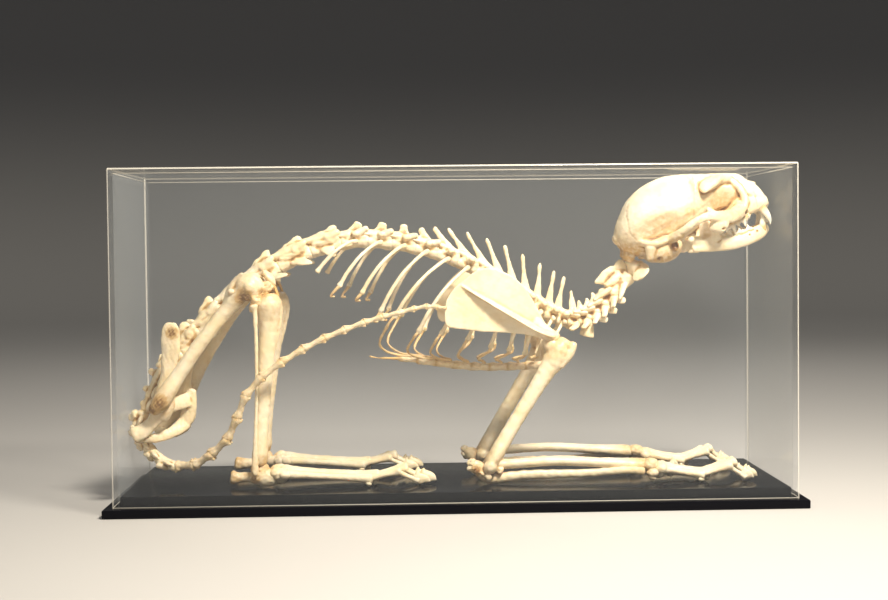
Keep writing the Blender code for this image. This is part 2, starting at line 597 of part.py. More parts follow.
def head_frame(shapes):
    a = math.radians(HEAD_PITCH)
    return place(shapes, (NOSE[0], SKULL_Y, NOSE[1]), (math.cos(a), 0, math.sin(a)), (0, 1, 0),
                 (-math.sin(a), 0, math.cos(a)))


def vault(sections, sides):
    """A loft across the head from x, top, bottom and half width."""
    rows = [(x, 0, (top + low) / 2, wide, (top - low) / 2) for x, top, low, wide in sections]
    return tube(rows, sides=sides, axis=(1, 0, 0))


def skull():
    shapes = vault([(-91.6, 22.0, 17.0, 4.5), (-89.0, 25.6, 10.5, 11.0), (-85.0, 30.2, 7.0, 15.5),
                    (-79.0, 37.0, 5.2, 19.2), (-71.0, 42.4, 5.0, 21.4), (-61.0, 45.2, 5.8, 22.2),
                    (-51.5, 45.7, 7.0, 21.2), (-44.0, 44.0, 9.0, 18.4), (-37.0, 42.2, 12.0, 15.4),
                    (-30.0, 40.0, 17.0, 14.2), (-22.0, 37.8, 18.0, 11.2), (-15.0, 35.4, 13.0, 10.6),
                    (-9.6, 33.2, 10.0, 11.4), (-5.6, 27.9, 9.4, 11.0), (-2.0, 24.8, 9.2, 9.8),
                    (-0.2, 20.6, 9.2, 8.8), (0.4, 15.0, 9.2, 7.6)], 16)
    shapes += vault([(-66.0, 13.0, 4.6, 7.5), (-52.0, 16.0, 5.6, 6.0), (-38.0, 20.0, 4.4, 7.5),
                     (-22.0, 22.0, 3.6, 7.8)], 8)
    shapes += vault([(-40.0, 12.0, 5.0, 9.0), (-32.0, 13.0, 6.0, 14.0), (-24.0, 15.0, 7.6, 17.0),
                     (-17.0, 17.0, 8.8, 16.6), (-11.0, 17.0, 9.2, 13.2), (-5.0, 15.6, 8.8, 11.2),
                     (-0.6, 13.0, 8.2, 8.4)], 10)
    pair = tube([(-17.0, 13.5, 13.4, 4.0, 3.4), (-20.5, 20.0, 12.6, 3.6, 2.4), (-26.0, 26.0, 12.8, 3.2, 1.8),
                 (-36.0, 31.0, 15.4, 2.9, 1.6), (-47.0, 32.2, 15.6, 2.8, 1.6), (-56.0, 28.2, 13.0, 2.8, 2.2),
                 (-61.5, 20.0, 11.6, 3.4, 3.0)], side=(0, 0, 1), sides=6)
    pair += tube([(-33.5, 29.4, 16.0, 2.4, 1.3), (-35.5, 28.6, 21.0, 1.0, 0.8)], side=(1, 0, 0), sides=4)
    pair += tube([(-32.0, 10.5, 35.5, 4.0, 3.2), (-35.0, 17.5, 31.5, 2.8, 2.0), (-36.6, 23.2, 25.6, 1.2, 1.0)],
                 side=(1, 0, 0), sides=5)
    pair += bead((-67.0, 12.6, 5.2), 10.4, 7.2, 7.6, sides=8, rings=5)
    pair += bead((-75.5, 17.4, 9.0), 5.0, 3.4, 5.4)
    pair += bead((-86.6, 5.0, 9.2), 3.6, 3.6, 4.4)
    pair += tube([(-78.0, 18.2, 10.0, 2.4, 2.4), (-84.6, 14.6, 20.0, 2.3, 2.3), (-88.4, 8.6, 25.6, 2.3, 2.3),
                  (-91.2, 1.2, 22.0, 2.4, 2.4)], side=(1, 0, 0), sides=4)
    pair += spike((-3.4, 8.0, 12.0), (-1.6, 8.6, -1.4), 2.5, 0.5, sides=6)
    pair += spike((-17.8, 13.6, 10.6), (-17.2, 13.8, 5.0), 1.8, 0.5)
    pair += tube([(-25.0, 15.6, 10.4, 5.0, 1.6), (-24.0, 15.8, 3.2, 2.6, 0.6)], side=(1, 0, 0), sides=4)
    for n in range(3):
        pair += spike((-1.6 - 0.4 * n, 1.2 + 2.0 * n, 10.4), (-0.6 - 0.5 * n, 1.2 + 2.0 * n, 4.8), 1.0, 0.5)
    return head_frame(shapes + mirrored(pair))


def jaw():
    half = tube([(-4.6, 1.6, -2.0, 2.0, 3.0), (-9.0, 6.0, -3.2, 2.4, 4.4), (-16.0, 10.0, -3.6, 2.1, 4.6),
                 (-26.0, 13.6, -3.4, 2.0, 4.6), (-36.0, 17.2, -1.2, 2.0, 4.8), (-45.0, 20.0, 1.6, 1.8, 5.2),
                 (-52.5, 22.0, 1.0, 1.4, 2.6)], sides=6)
    half += tube([(-41.0, 19.4, 1.0, 6.6, 1.4), (-41.0, 21.0, 7.0, 5.4, 1.1), (-41.6, 21.8, 13.6, 2.6, 0.9)],
                 side=(1, 0, 0), sides=4)
    half += tube([(-47.0, 20.6, 3.4, 3.2, 1.8), (-52.6, 22.6, 6.4, 2.4, 1.8)], side=(0, 0, 1), sides=4)
    half += tube([(-52.8, 17.4, 6.6, 1.9, 1.9), (-52.8, 27.0, 6.6, 1.9, 1.9)], side=(1, 0, 0), sides=6)
    half += spike((-6.5, 5.0, -2.0), (-4.6, 5.6, 7.0), 1.9, 0.5, sides=5)
    for x, tall in ((-16.0, 3.2), (-22.0, 3.8), (-28.6, 4.4)):
        half += tube([(x, mix(10.0, 14.2, (-16 - x) / 12), 0.0, 2.8, 1.2),
                      (x, mix(9.6, 13.8, (-16 - x) / 12), tall, 0.7, 0.5)], side=(1, 0, 0), sides=4)
    half += tube([(-4.2, 1.4, -1.6, 1.6, 1.0), (-2.8, 1.4, 2.0, 1.4, 0.6)], sides=4)
    return head_frame(mirrored(half))


# Meshes

def loft_mesh(shape):
    rows, side, sides, axis = shape
    pts = [Vector(row[:3]) for row in rows]
    verts, faces = [], []
    for i, row in enumerate(rows):
        way = Vector(axis) if axis else pts[min(i + 1, len(pts) - 1)] - pts[max(i - 1, 0)]
        way.normalize()
        across = Vector(side)
        across = (across - way * across.dot(way)).normalized()
        over = way.cross(across)
        turn = 0.5 if sides > 4 else 0.0
        for k in range(sides):
            angle = 2 * math.pi * (k + turn) / sides
            verts.append(pts[i] + across * (row[3] * math.cos(angle)) + over * (row[4] * math.sin(angle)))
    if axis and (pts[-1] - pts[0]).dot(Vector(axis)) < 0:
        return loft_mesh((rows[::-1], side, sides, axis))
    for i in range(len(rows) - 1):
        for k in range(sides):
            j = (k + 1) % sides
            faces.append((i * sides + k, i * sides + j, (i + 1) * sides + j, (i + 1) * sides + k))
    faces.append(tuple(reversed(range(sides))))
    faces.append(tuple((len(rows) - 1) * sides + k for k in range(sides)))
    return verts, faces


def plate_mesh(points, thick):
    half = Vector((0, thick / 2, 0))
    count = len(points)
    verts = [Vector(p) - half for p in points] + [Vector(p) + half for p in points]
    faces = [tuple(range(count)), tuple(reversed(range(count, 2 * count)))]
    for k in range(count):
        j = (k + 1) % count
        faces.append((j, k, k + count, j + count))
    return verts, faces


def box_mesh(low, high):
    verts = [Vector((x, y, z)) for z in (low[2], high[2]) for y in (low[1], high[1])
             for x in (low[0], high[0])]
    faces = [(0, 2, 3, 1), (4, 5, 7, 6), (0, 1, 5, 4), (2, 6, 7, 3), (0, 4, 6, 2), (1, 3, 7, 5)]
    return verts, faces


def new_object(name, verts, faces):
    mesh = bpy.data.meshes.new(name)
    mesh.from_pydata([v * MM for v in verts], [], faces)
    mesh.validate()
    bm = bmesh.new()
    bm.from_mesh(mesh)
    bmesh.ops.recalc_face_normals(bm, faces=bm.faces)
    bm.to_mesh(mesh)
    bm.free()
    thing = bpy.data.objects.new(name, mesh)
    bpy.context.collection.objects.link(thing)
    return thing


def bake(thing):
    """Applies the modifiers of an object."""
    bpy.context.view_layer.update()
    graph = bpy.context.evaluated_depsgraph_get()
    mesh = bpy.data.meshes.new_from_object(thing.evaluated_get(graph))
    old_mesh = thing.data
    thing.modifiers.clear()
    thing.data = mesh
    bpy.data.meshes.remove(old_mesh)


def islands(bm):
    """Groups of faces that hang together."""
    seen, groups = set(), []
    for face in bm.faces:
        if face in seen:
            continue
        group, queue = [], [face]
        seen.add(face)
        while queue:
            here = queue.pop()
            group.append(here)
            for edge in here.edges:
                for other in edge.link_faces:
                    if other not in seen:
                        seen.add(other)
                        queue.append(other)
        groups.append(group)
    return groups


def spread(group):
    spots = [v.co for face in group for v in face.verts]
    return sum(max(s[k] for s in spots) - min(s[k] for s in spots) for k in range(3))


def largest_piece(thing):
    """Keeps the largest closed surface of an object and merges its shortest edges."""
    for merge in (0.12, 0.05, 0.02, 0.0):
        bm = bmesh.new()
        bm.from_mesh(thing.data)
        groups = sorted(islands(bm), key=spread, reverse=True)
        scrap = [face for group in groups[1:] for face in group]
        if scrap:
            bmesh.ops.delete(bm, geom=scrap, context="FACES")
            bmesh.ops.delete(bm, geom=[v for v in bm.verts if not v.link_faces], context="VERTS")
        if merge:
            bmesh.ops.remove_doubles(bm, verts=bm.verts, dist=merge * MM)
            bmesh.ops.dissolve_degenerate(bm, edges=bm.edges, dist=0.01 * MM)
            bmesh.ops.dissolve_limit(bm, angle_limit=math.radians(1.5), verts=bm.verts, edges=bm.edges)
        bmesh.ops.triangulate(bm, faces=bm.faces)
        closed = all(len(edge.link_faces) == 2 for edge in bm.edges)
        closed = closed and len(islands(bm)) == 1 and all(face.calc_area() > 0 for face in bm.faces)
        if closed or not merge:
            bm.to_mesh(thing.data)
            bm.free()
            return
        bm.free()


def thin_out(thing, target):
    """Collapses short edges until about target triangles are left."""
    count = len(thing.data.polygons)
    if count <= target:
        return
    fewer = thing.modifiers.new("fewer", "DECIMATE")
    fewer.ratio = target / count
    bake(thing)
    largest_piece(thing)


def fuse(name, meshes, solver="MANIFOLD"):
    """Joins closed meshes into one solid."""
    first = new_object(name, *meshes[0])
    if len(meshes) > 1:
        group = bpy.data.collections.new(name + "_parts")
        bpy.context.scene.collection.children.link(group)
        helpers = []
        for n, (verts, faces) in enumerate(meshes[1:]):
            helper = new_object("%s_part_%d" % (name, n), verts, faces)
            bpy.context.collection.objects.unlink(helper)
            group.objects.link(helper)
            helpers.append(helper)
        union = first.modifiers.new("union", "BOOLEAN")
        union.operation = "UNION"
        union.operand_type = "COLLECTION"
        union.collection = group
        union.solver = solver
        bake(first)
        for helper in helpers:
            bpy.data.objects.remove(helper, do_unlink=True)
        bpy.data.collections.remove(group)
    largest_piece(first)
    return first


def swollen(name, by):
    """A cutter with the form of a bone, larger by a gap all round."""
    if name in CUTTERS:
        return CUTTERS[name]
    if name == "riser":
        meshes = [box_mesh((-in_x, -in_y, BASE_THICK), (in_x, in_y, FLOOR + by))]
    else:
        meshes = []
        shapes, plates = FORMS[name]
        for rows, side, sides, axis in shapes:
            more = by / math.cos(math.pi / sides)
            wide = [[*row[:3], row[3] + more, row[4] + more] for row in rows]
            for end, inner in ((0, 1), (-1, -2)):
                spot = Vector(rows[end][:3])
                spot += (spot - Vector(rows[inner][:3])).normalized() * by
                wide[end][:3] = spot
            meshes.append(loft_mesh((wide, side, sides, axis)))
        for points, thick in plates:
            middle = sum((Vector(p) for p in points), Vector()) / len(points)
            wide = [Vector(p) + (Vector(p) - middle).normalized() * by for p in points]
            meshes.append(plate_mesh(wide, thick + 2 * by))
    cutter = fuse(name + "_cutter", meshes)
    cutter.hide_render = True
    cutter.display_type = "WIRE"
    CUTTERS[name] = cutter
    return cutter


def seat(name, *neighbours):
    """Cuts a bone so that it meets its neighbours across a narrow gap."""
    thing = BONES[name]
    for other in neighbours:
        cut = thing.modifiers.new("seat", "BOOLEAN")
        cut.operation = "DIFFERENCE"
        cut.object = swollen(other, GAP)
        cut.solver = "MANIFOLD"
        bake(thing)
        largest_piece(thing)


def finish(thing, colour, rough, alpha=1.0, smooth=True):
    mat = bpy.data.materials.new(thing.name + "_material")
    mat.use_nodes = True
    shader = mat.node_tree.nodes["Principled BSDF"]
    shader.inputs["Base Color"].default_value = colour
    shader.inputs["Roughness"].default_value = rough
    shader.inputs["Metallic"].default_value = 0.0
    if alpha < 1.0:
        shader.inputs["Alpha"].default_value = alpha
        mat.surface_render_method = "BLENDED"
    thing.data.materials.clear()
    thing.data.materials.append(mat)
    if smooth:
        thing.data.shade_smooth()
        thing.data.set_sharp_from_angle(angle=math.radians(60))
    return thing


def bone(name, shapes, plates=(), target=4000, solver="MANIFOLD"):
    meshes = [plate_mesh(points, thick) for points, thick in plates]
    meshes += [loft_mesh(shape) for shape in shapes]
    thing = fuse(name, meshes, solver)
    thin_out(thing, target)
    BONES[name] = thing
    FORMS[name] = (shapes, plates)


BONES = {}
FORMS = {}
CUTTERS = {}

# Case
half_x = COVER_LONG / 2
half_y = COVER_DEEP / 2
top = BASE_THICK + COVER_TALL
edge = 0.3
panels = {
    "case_front": ((-half_x, -half_y, BASE_THICK + edge), (half_x, -half_y + WALL, top - WALL - edge)),
    "case_back": ((-half_x, half_y - WALL, BASE_THICK + edge), (half_x, half_y, top - WALL - edge)),
    "case_left": ((-half_x, -half_y + WALL + edge, BASE_THICK + edge),
                  (-half_x + WALL, half_y - WALL - edge, top - WALL - edge)),
    "case_right": ((half_x - WALL, -half_y + WALL + edge, BASE_THICK + edge),
                   (half_x, half_y - WALL - edge, top - WALL - edge)),
    "case_top": ((-half_x, -half_y, top - WALL), (half_x, half_y, top)),
}
for name, (low, high) in panels.items():
    finish(new_object(name, *box_mesh(low, high)), CLEAR, 0.03, alpha=0.2, smooth=False)
lip_x, lip_y = half_x + BASE_LIP, half_y + BASE_LIP
base = new_object("base_plate", *box_mesh((-lip_x, -lip_y, 0), (lip_x, lip_y, BASE_THICK)))
finish(base, BLACK, 0.08, smooth=False)
in_x, in_y = half_x - WALL - RISER_INSET, half_y - WALL - RISER_INSET
riser = new_object("riser", *box_mesh((-in_x, -in_y, BASE_THICK + edge), (in_x, in_y, FLOOR)))
finish(riser, BLACK, 0.08, smooth=False)

# Head, spine and tail
bone("skull", skull(), target=1700, solver="EXACT")
bone("mandible", jaw(), target=520)
bone("neck_vertebrae", neck(), target=1050)
bone("chest_vertebrae", chest(), target=1550)
bone("loin_vertebrae", loin(), target=1250)
bone("sacrum", sacrum(), target=400)
bone("pelvis", pelvis(), target=720)
for name, first, last in TAIL_PARTS:
    bone(name, tail(first, last), target=380)

# Rib cage
bone("sternum", sternum())
bone("ribs_right", ribs(-1), target=1250)
bone("ribs_left", ribs(1), target=1250)

# Limbs: right ones are nearest the front panel
SHOULDER_SHIFT = (-3.0, 1.0)
for side, outward, shift in (("right", -1, (0, 0)), ("left", 1, SHOULDER_SHIFT)):
    outline, shapes = scapula(outward, *shift)
    bone("scapula_" + side, shapes, [(outline, BLADE_THICK)])

HIPS = {"right": ((-171.4, -28, 60.8), (-119.6, -29, 129.0)),
        "left": ((-164.6, 14, 58.4), (-120.6, 19, 129.6))}
SHINS = {"right": ((-107.6, -30, 118.6), (-113.8, -30, 25.0)),
         "left": ((-107.0, 19, 118.8), (-116.6, 27, 25.2))}
ARMS = {"right": ((61.0, -30, 90.0), (19.6, -32, 21.8)),
        "left": ((57.0, 18, 91.0), (18.6, 26, 22.2))}
WRISTS = {"right": (110.5, -31.5, 20.6), "left": (111.0, 28.0, 20.8)}
HEELS = {"right": (-129.8, -30.5, 17.6), "left": (-133.6, 28.5, 17.6)}
FORE_REACH = {"right": 64.5, "left": 61.5}
HIND_REACH = {"right": 118.5, "left": 115.5}

for side, outward in (("right", -1), ("left", 1)):
    bone("femur_" + side, limb(femur(), *HIPS[side], (-1, 0, 1), outward, FEMUR_LONG))
    bone("tibia_" + side, limb(tibia(), *SHINS[side], (1, 0, 0), outward, TIBIA_LONG))
    tx, ty, tz = SHINS[side][0]
    bx, by, bz = SHINS[side][1]
    bone("fibula_" + side, tube([
        (tx - 7.6, ty + 7.6 * outward, tz - 2.0, 1.9, 2.6), (tx - 7.0, ty + 7.4 * outward, tz - 7.0, 1.3, 1.5),
        (mix(tx, bx, 0.3) - 4.6, mix(ty, by, 0.3) + 6.6 * outward, mix(tz, bz, 0.3), 1.1, 1.2),
        (mix(tx, bx, 0.7) - 2.6, mix(ty, by, 0.7) + 6.4 * outward, mix(tz, bz, 0.7), 1.1, 1.2),
        (bx - 2.2, by + 7.4 * outward, bz + 3.0, 1.5, 2.2), (bx - 2.2, by + 7.8 * outward, bz - 5.0, 1.3, 1.9),
    ], sides=5))
    kx, ky, kz = HIPS[side][1]
    bone("patella_" + side, bead((kx + 12.6, ky, kz + 3.6), 5.6, 3.6, 2.4, along=(0.62, 0, -0.78),
                                 sides=8, rings=5))
    bone("hindfoot_" + side, hindfoot(HEELS[side], SHINS[side][1], outward, HIND_REACH[side]), target=700)
    bone("humerus_" + side, limb(humerus(), *ARMS[side], (1, 0, 0), outward, HUMERUS_LONG))
    radius, ulna = forearm(ARMS[side][1], WRISTS[side], outward)
    bone("radius_" + side, radius)
    bone("ulna_" + side, ulna)
    bone("forepaw_" + side, forepaw(WRISTS[side], outward, FORE_REACH[side]), target=760)

# Joints: the first of each row is cut to fit the rest
JOINTS = [("mandible", "skull"), ("neck_vertebrae", "skull", "mandible"), ("chest_vertebrae", "neck_vertebrae"),
          ("loin_vertebrae", "chest_vertebrae"), ("sacrum", "loin_vertebrae", "pelvis"),
          ("tail_base", "sacrum", "pelvis"), ("tail_middle", "tail_base"), ("tail_tip", "tail_middle")]
for side in ("right", "left"):
    JOINTS += [("ribs_" + side, "chest_vertebrae", "sternum"), ("pelvis", "femur_" + side, "loin_vertebrae"),
               ("tibia_" + side, "femur_" + side),
               ("patella_" + side, "femur_" + side, "tibia_" + side),
               ("fibula_" + side, "tibia_" + side, "femur_" + side),
               ("hindfoot_" + side, "tibia_" + side, "fibula_" + side),
               ("scapula_" + side, "humerus_" + side, "ribs_" + side),
               ("ulna_" + side, "humerus_" + side),
               ("radius_" + side, "humerus_" + side, "ulna_" + side),
               ("forepaw_" + side, "radius_" + side, "ulna_" + side)]
for name, *others in JOINTS:
    seat(name, *others)
for side in ("right", "left"):
    for name in ("hindfoot_", "forepaw_", "ulna_"):
        seat(name + side, "riser")
for cutter in CUTTERS.values():
    bpy.data.objects.remove(cutter, do_unlink=True)

for name, thing in BONES.items():
    finish(thing, BONE, 0.5)
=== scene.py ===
"""Looks for a cat skeleton in its clear case: fine bones, cover, base, light and camera.

Lengths are in millimetres until a mesh is made. X runs along the case toward the cat's head,
the cat's right side faces -Y, and Z is up.
"""
import math

import bmesh
import bpy
import numpy as np
from mathutils import Matrix, Vector


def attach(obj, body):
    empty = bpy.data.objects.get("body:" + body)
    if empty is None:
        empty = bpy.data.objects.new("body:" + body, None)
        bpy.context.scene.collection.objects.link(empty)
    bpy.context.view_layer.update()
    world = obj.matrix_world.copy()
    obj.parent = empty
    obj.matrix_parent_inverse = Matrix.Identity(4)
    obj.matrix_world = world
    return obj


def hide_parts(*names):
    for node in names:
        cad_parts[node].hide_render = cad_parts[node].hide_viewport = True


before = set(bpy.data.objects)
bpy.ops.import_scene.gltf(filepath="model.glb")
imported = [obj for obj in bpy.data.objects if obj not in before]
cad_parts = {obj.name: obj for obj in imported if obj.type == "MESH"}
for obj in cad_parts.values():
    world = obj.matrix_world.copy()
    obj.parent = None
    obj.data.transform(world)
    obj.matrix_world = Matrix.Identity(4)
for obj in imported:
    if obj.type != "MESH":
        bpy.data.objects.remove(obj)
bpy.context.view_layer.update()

MM = 0.001
GAP = 0.35

# Surfaces: every bone's grid is this much coarser than the cell that its kind names
GRID_SCALE = 1.34
WAVE_COUNT = 9
SHARP_ANGLE = math.radians(35)

# Display case, as in the frame
COVER_LONG = 386.6
COVER_DEEP = 126.0
COVER_TALL = 190.0
WALL = 3.0
BASE_LIP = 5.0
BASE_THICK = 5.0
RISER_THICK = 6.0
RISER_INSET = 0.8
FLOOR = BASE_THICK + RISER_THICK

# Middle planes across the case
BODY_Y = -6.0
SKULL_Y = -12.0
TAIL_Y = -45.0

# Skull
NOSE = (189.3, 162.1)
HEAD_PITCH = 18.0

# Camera
IMAGE_WIDE = 888
FOCAL_PX = 1517.27
SENSOR_MM = 36.0
EYE = (-0.0313, -0.9102, 0.1488)
YAW = 1.661
PITCH = 1.971
ROLL = -0.604


def set_camera():
    yaw, pitch, roll = (math.radians(a) for a in (YAW, PITCH, ROLL))
    ahead = Vector((math.sin(yaw) * math.cos(pitch), math.cos(yaw) * math.cos(pitch), -math.sin(pitch)))
    level = Vector((math.cos(yaw), -math.sin(yaw), 0))
    rise = level.cross(ahead)
    right = level * math.cos(roll) + rise * math.sin(roll)
    top = rise * math.cos(roll) - level * math.sin(roll)
    data = bpy.data.cameras.new("camera")
    data.sensor_width = SENSOR_MM
    data.lens = FOCAL_PX * SENSOR_MM / IMAGE_WIDE
    data.clip_start = 0.05
    camera = bpy.data.objects.new("camera", data)
    bpy.context.scene.collection.objects.link(camera)
    camera.matrix_world = Matrix.Translation(EYE) @ Matrix((right, top, -ahead)).transposed().to_4x4()
    bpy.context.scene.camera = camera


set_camera()


# Materials

def start_material(name):
    mat = bpy.data.materials.new(name)
    mat.use_nodes = True
    return mat, mat.node_tree.nodes, mat.node_tree.links


def add(nodes, kind, **values):
    """A node of a kind, with its plain properties or its sockets set by name."""
    node = nodes.new(kind)
    for key, value in values.items():
        if hasattr(node, key):
            setattr(node, key, value)
        else:
            node.inputs[key.replace("_", " ")].default_value = value
    return node


def attribute(nodes, name):
    node = nodes.new("ShaderNodeAttribute")
    node.attribute_name = name
    return node.outputs["Fac"]


def blend(nodes, links, factor, first, second):
    """A colour mix; first and second are colours or sockets, factor a number or a socket."""
    node = nodes.new("ShaderNodeMix")
    node.data_type = "RGBA"
    for socket, value in ((node.inputs[0], factor), (node.inputs[6], first), (node.inputs[7], second)):
        if isinstance(value, bpy.types.NodeSocket):
            links.new(value, socket)
        else:
            socket.default_value = value
    return node.outputs[2]


def ramp(nodes, links, value, low, high, to_low=0.0, to_high=1.0):
    """Turns a value between low and high into one between to_low and to_high."""
    node = nodes.new("ShaderNodeMapRange")
    node.interpolation_type = "SMOOTHSTEP"
    for n, number in enumerate((low, high, to_low, to_high), 1):
        node.inputs[n].default_value = number
    links.new(value, node.inputs[0])
    return node.outputs[0]


def noise(nodes, links, place, scale, detail=3.0, rough=0.5):
    node = add(nodes, "ShaderNodeTexNoise", Scale=scale, Detail=detail, Roughness=rough)
    links.new(place, node.inputs["Vector"])
    return node.outputs["Fac"]


def bone_material():
    """Dry ivory bone with ochre joints, sutures and amber gristle; painted ochre shade on downward faces
    and in the skull's recesses, and painted ochre and brown shade in hollows.
    """
    mat, nodes, links = start_material("dry_bone")
    shader = nodes["Principled BSDF"]
    place = nodes.new("ShaderNodeTexCoord").outputs["Object"]
    broad = noise(nodes, links, place, 60, 4.0, 0.6)
    small = noise(nodes, links, place, 420, 4.0, 0.6)
    pores = noise(nodes, links, place, 2600, 2.0, 0.5)
    colour = blend(nodes, links, ramp(nodes, links, broad, 0.35, 0.68), IVORY, CREAM)
    colour = blend(nodes, links, ramp(nodes, links, small, 0.5, 0.75, 0.0, 0.35), colour, HONEY)
    # Ochre at the joints and in patches on the skull, together with painted shade on downward faces and in
    # the skull's temples, orbits and underside.
    stain_and_shade_mask = nodes.new("ShaderNodeMath")
    stain_and_shade_mask.operation = "MULTIPLY"
    links.new(attribute(nodes, "stain_and_shade"), stain_and_shade_mask.inputs[0])
    links.new(ramp(nodes, links, small, 0.25, 0.6, 0.35, 1.0), stain_and_shade_mask.inputs[1])
    colour = blend(nodes, links, stain_and_shade_mask.outputs[0], colour, OCHRE)
    colour = blend(nodes, links, attribute(nodes, "gristle"), colour, AMBER)
    # Painted shade: hollows and creases turn ochre, then brown.
    hollow = attribute(nodes, "hollow")
    colour = blend(nodes, links, ramp(nodes, links, hollow, 0.02, 0.45, 0.0, 0.8), colour, OCHRE)
    colour = blend(nodes, links, ramp(nodes, links, hollow, 0.3, 1.0, 0.0, 0.9), colour, BROWN)
    colour = blend(nodes, links, attribute(nodes, "seam"), colour, RUST)
    links.new(colour, shader.inputs["Base Color"])
    links.new(ramp(nodes, links, small, 0.3, 0.7, 0.34, 0.5), shader.inputs["Roughness"])
    shader.inputs["Subsurface Weight"].default_value = 0.12
    shader.inputs["Subsurface Radius"].default_value = (1.0, 0.55, 0.25)
    shader.inputs["Subsurface Scale"].default_value = 0.0016
    shader.inputs["IOR"].default_value = 1.5
    fine = nodes.new("ShaderNodeMath")
    fine.operation = "MULTIPLY_ADD"
    links.new(pores, fine.inputs[0])
    fine.inputs[1].default_value = 0.35
    links.new(small, fine.inputs[2])
    bump = add(nodes, "ShaderNodeBump", Strength=0.35, Distance=0.0003)
    links.new(fine.outputs[0], bump.inputs["Height"])
    links.new(bump.outputs["Normal"], shader.inputs["Normal"])
    return mat


def tooth_material():
    """Enamel, ivory at the tip and yellow toward the gum, with painted yellow-brown shade on downward
    faces.
    """
    mat, nodes, links = start_material("enamel")
    shader = nodes["Principled BSDF"]
    place = nodes.new("ShaderNodeTexCoord").outputs["Object"]
    cloud = noise(nodes, links, place, 500, 3.0, 0.5)
    colour = blend(nodes, links, attribute(nodes, "stain_and_shade"), ENAMEL, TARTAR)
    colour = blend(nodes, links, ramp(nodes, links, cloud, 0.45, 0.75, 0.0, 0.4), colour, HONEY)
    links.new(colour, shader.inputs["Base Color"])
    shader.inputs["Roughness"].default_value = 0.22
    shader.inputs["Coat Weight"].default_value = 0.3
    shader.inputs["Coat Roughness"].default_value = 0.1
    return mat


def clear_material(name, tint, least, most, rough):
    """A clear sheet: it reflects more toward its edges, and otherwise shows what is behind it."""
    mat, nodes, links = start_material(name)
    shader = nodes["Principled BSDF"]
    shader.inputs["Base Color"].default_value = tint
    shader.inputs["Roughness"].default_value = rough
    shader.inputs["IOR"].default_value = 1.49
    shader.inputs["Specular IOR Level"].default_value = 0.5
    slant = add(nodes, "ShaderNodeLayerWeight", Blend=0.35)
    links.new(ramp(nodes, links, slant.outputs["Facing"], 0.2, 1.0, least, most), shader.inputs["Alpha"])
    mat.surface_render_method = "BLENDED"
    return mat


def black_material():
    """Polished black acrylic with a trace of dust."""
    mat, nodes, links = start_material("black_acrylic")
    shader = nodes["Principled BSDF"]
    place = nodes.new("ShaderNodeTexCoord").outputs["Object"]
    dust = noise(nodes, links, place, 900, 6.0, 0.7)
    cloud = noise(nodes, links, place, 18, 3.0, 0.5)
    colour = blend(nodes, links, ramp(nodes, links, dust, 0.66, 0.8, 0.0, 0.25), JET, DUST)
    links.new(colour, shader.inputs["Base Color"])
    links.new(ramp(nodes, links, cloud, 0.3, 0.7, 0.09, 0.16), shader.inputs["Roughness"])
    shader.inputs["IOR"].default_value = 1.12
    return mat


IVORY = (0.92, 0.80, 0.58, 1)
CREAM = (0.90, 0.73, 0.44, 1)
HONEY = (0.78, 0.57, 0.27, 1)
OCHRE = (0.56, 0.33, 0.10, 1)
AMBER = (0.66, 0.39, 0.11, 1)
BROWN = (0.20, 0.085, 0.02, 1)
RUST = (0.34, 0.17, 0.05, 1)
ENAMEL = (0.93, 0.88, 0.74, 1)
TARTAR = (0.62, 0.42, 0.17, 1)
JET = (0.006, 0.006, 0.008, 1)
DUST = (0.10, 0.095, 0.085, 1)
BONE_FINISH = bone_material()
TOOTH_FINISH = tooth_material()
BLACK_FINISH = black_material()
CLEAR_FINISH = clear_material("clear_acrylic", (0.62, 0.66, 0.68, 1), 0.03, 0.30, 0.02)
# Painted highlight: a pale, nearly opaque sheet that makes edges and thin lines look lit.
EDGE_HIGHLIGHT_FINISH = clear_material("painted_edge_highlight", (0.95, 0.90, 0.78, 1), 0.55, 0.85, 0.15)


# Shapes: each is a list of rows with the direction of its width and, if it is fixed, of its length

def tube(rows, side=(0, 1, 0), axis=None):
    """A loft through rows of x, y, z, half width along side and half height across it."""
    return [(list(rows), tuple(side), axis)]


def bead(centre, half, wide, high=None, along=(1, 0, 0), side=(0, 1, 0), rings=4):
    """An egg shape, half long, wide and high, that points along a direction."""
    high = wide if high is None else high
    middle = Vector(centre)
    way = Vector(along).normalized()
    rows = []
    for i in range(rings):
        angle = math.pi * (i + 0.5) / rings
        spot = middle - way * (half * math.cos(angle) / math.cos(0.5 * math.pi / rings))
        size = math.sin(angle)
        rows.append((*spot, wide * size, high * size))
    return tube(rows, side)


def spike(root, tip, thick, point=0.3):
    """A straight taper, for a tooth or a process."""
    return tube([(*root, thick, thick), (*tip, point, point)])


def place(shapes, origin, x_way, y_way, z_way):
    """Moves shapes from a bone's own frame to the model's frame."""
    out = []
    base = Vector(origin)
    ways = [Vector(x_way), Vector(y_way), Vector(z_way)]

    def turn(v):
        return ways[0] * v[0] + ways[1] * v[1] + ways[2] * v[2]

    for rows, side, axis in shapes:
        moved = [(*(base + turn(row[:3])), *row[3:]) for row in rows]
        out.append((moved, tuple(turn(side)), tuple(turn(axis)) if axis else None))
    return out


def mirrored(shapes):
    """Both sides of a bone that is even about its own middle plane."""
    return shapes + place(shapes, (0, 0, 0), (1, 0, 0), (0, -1, 0), (0, 0, 1))


def wings(*rows):
    """A pair of flat plates that stand out to both sides, wide along the bone."""
    return mirrored(tube(rows, side=(1, 0, 0)))


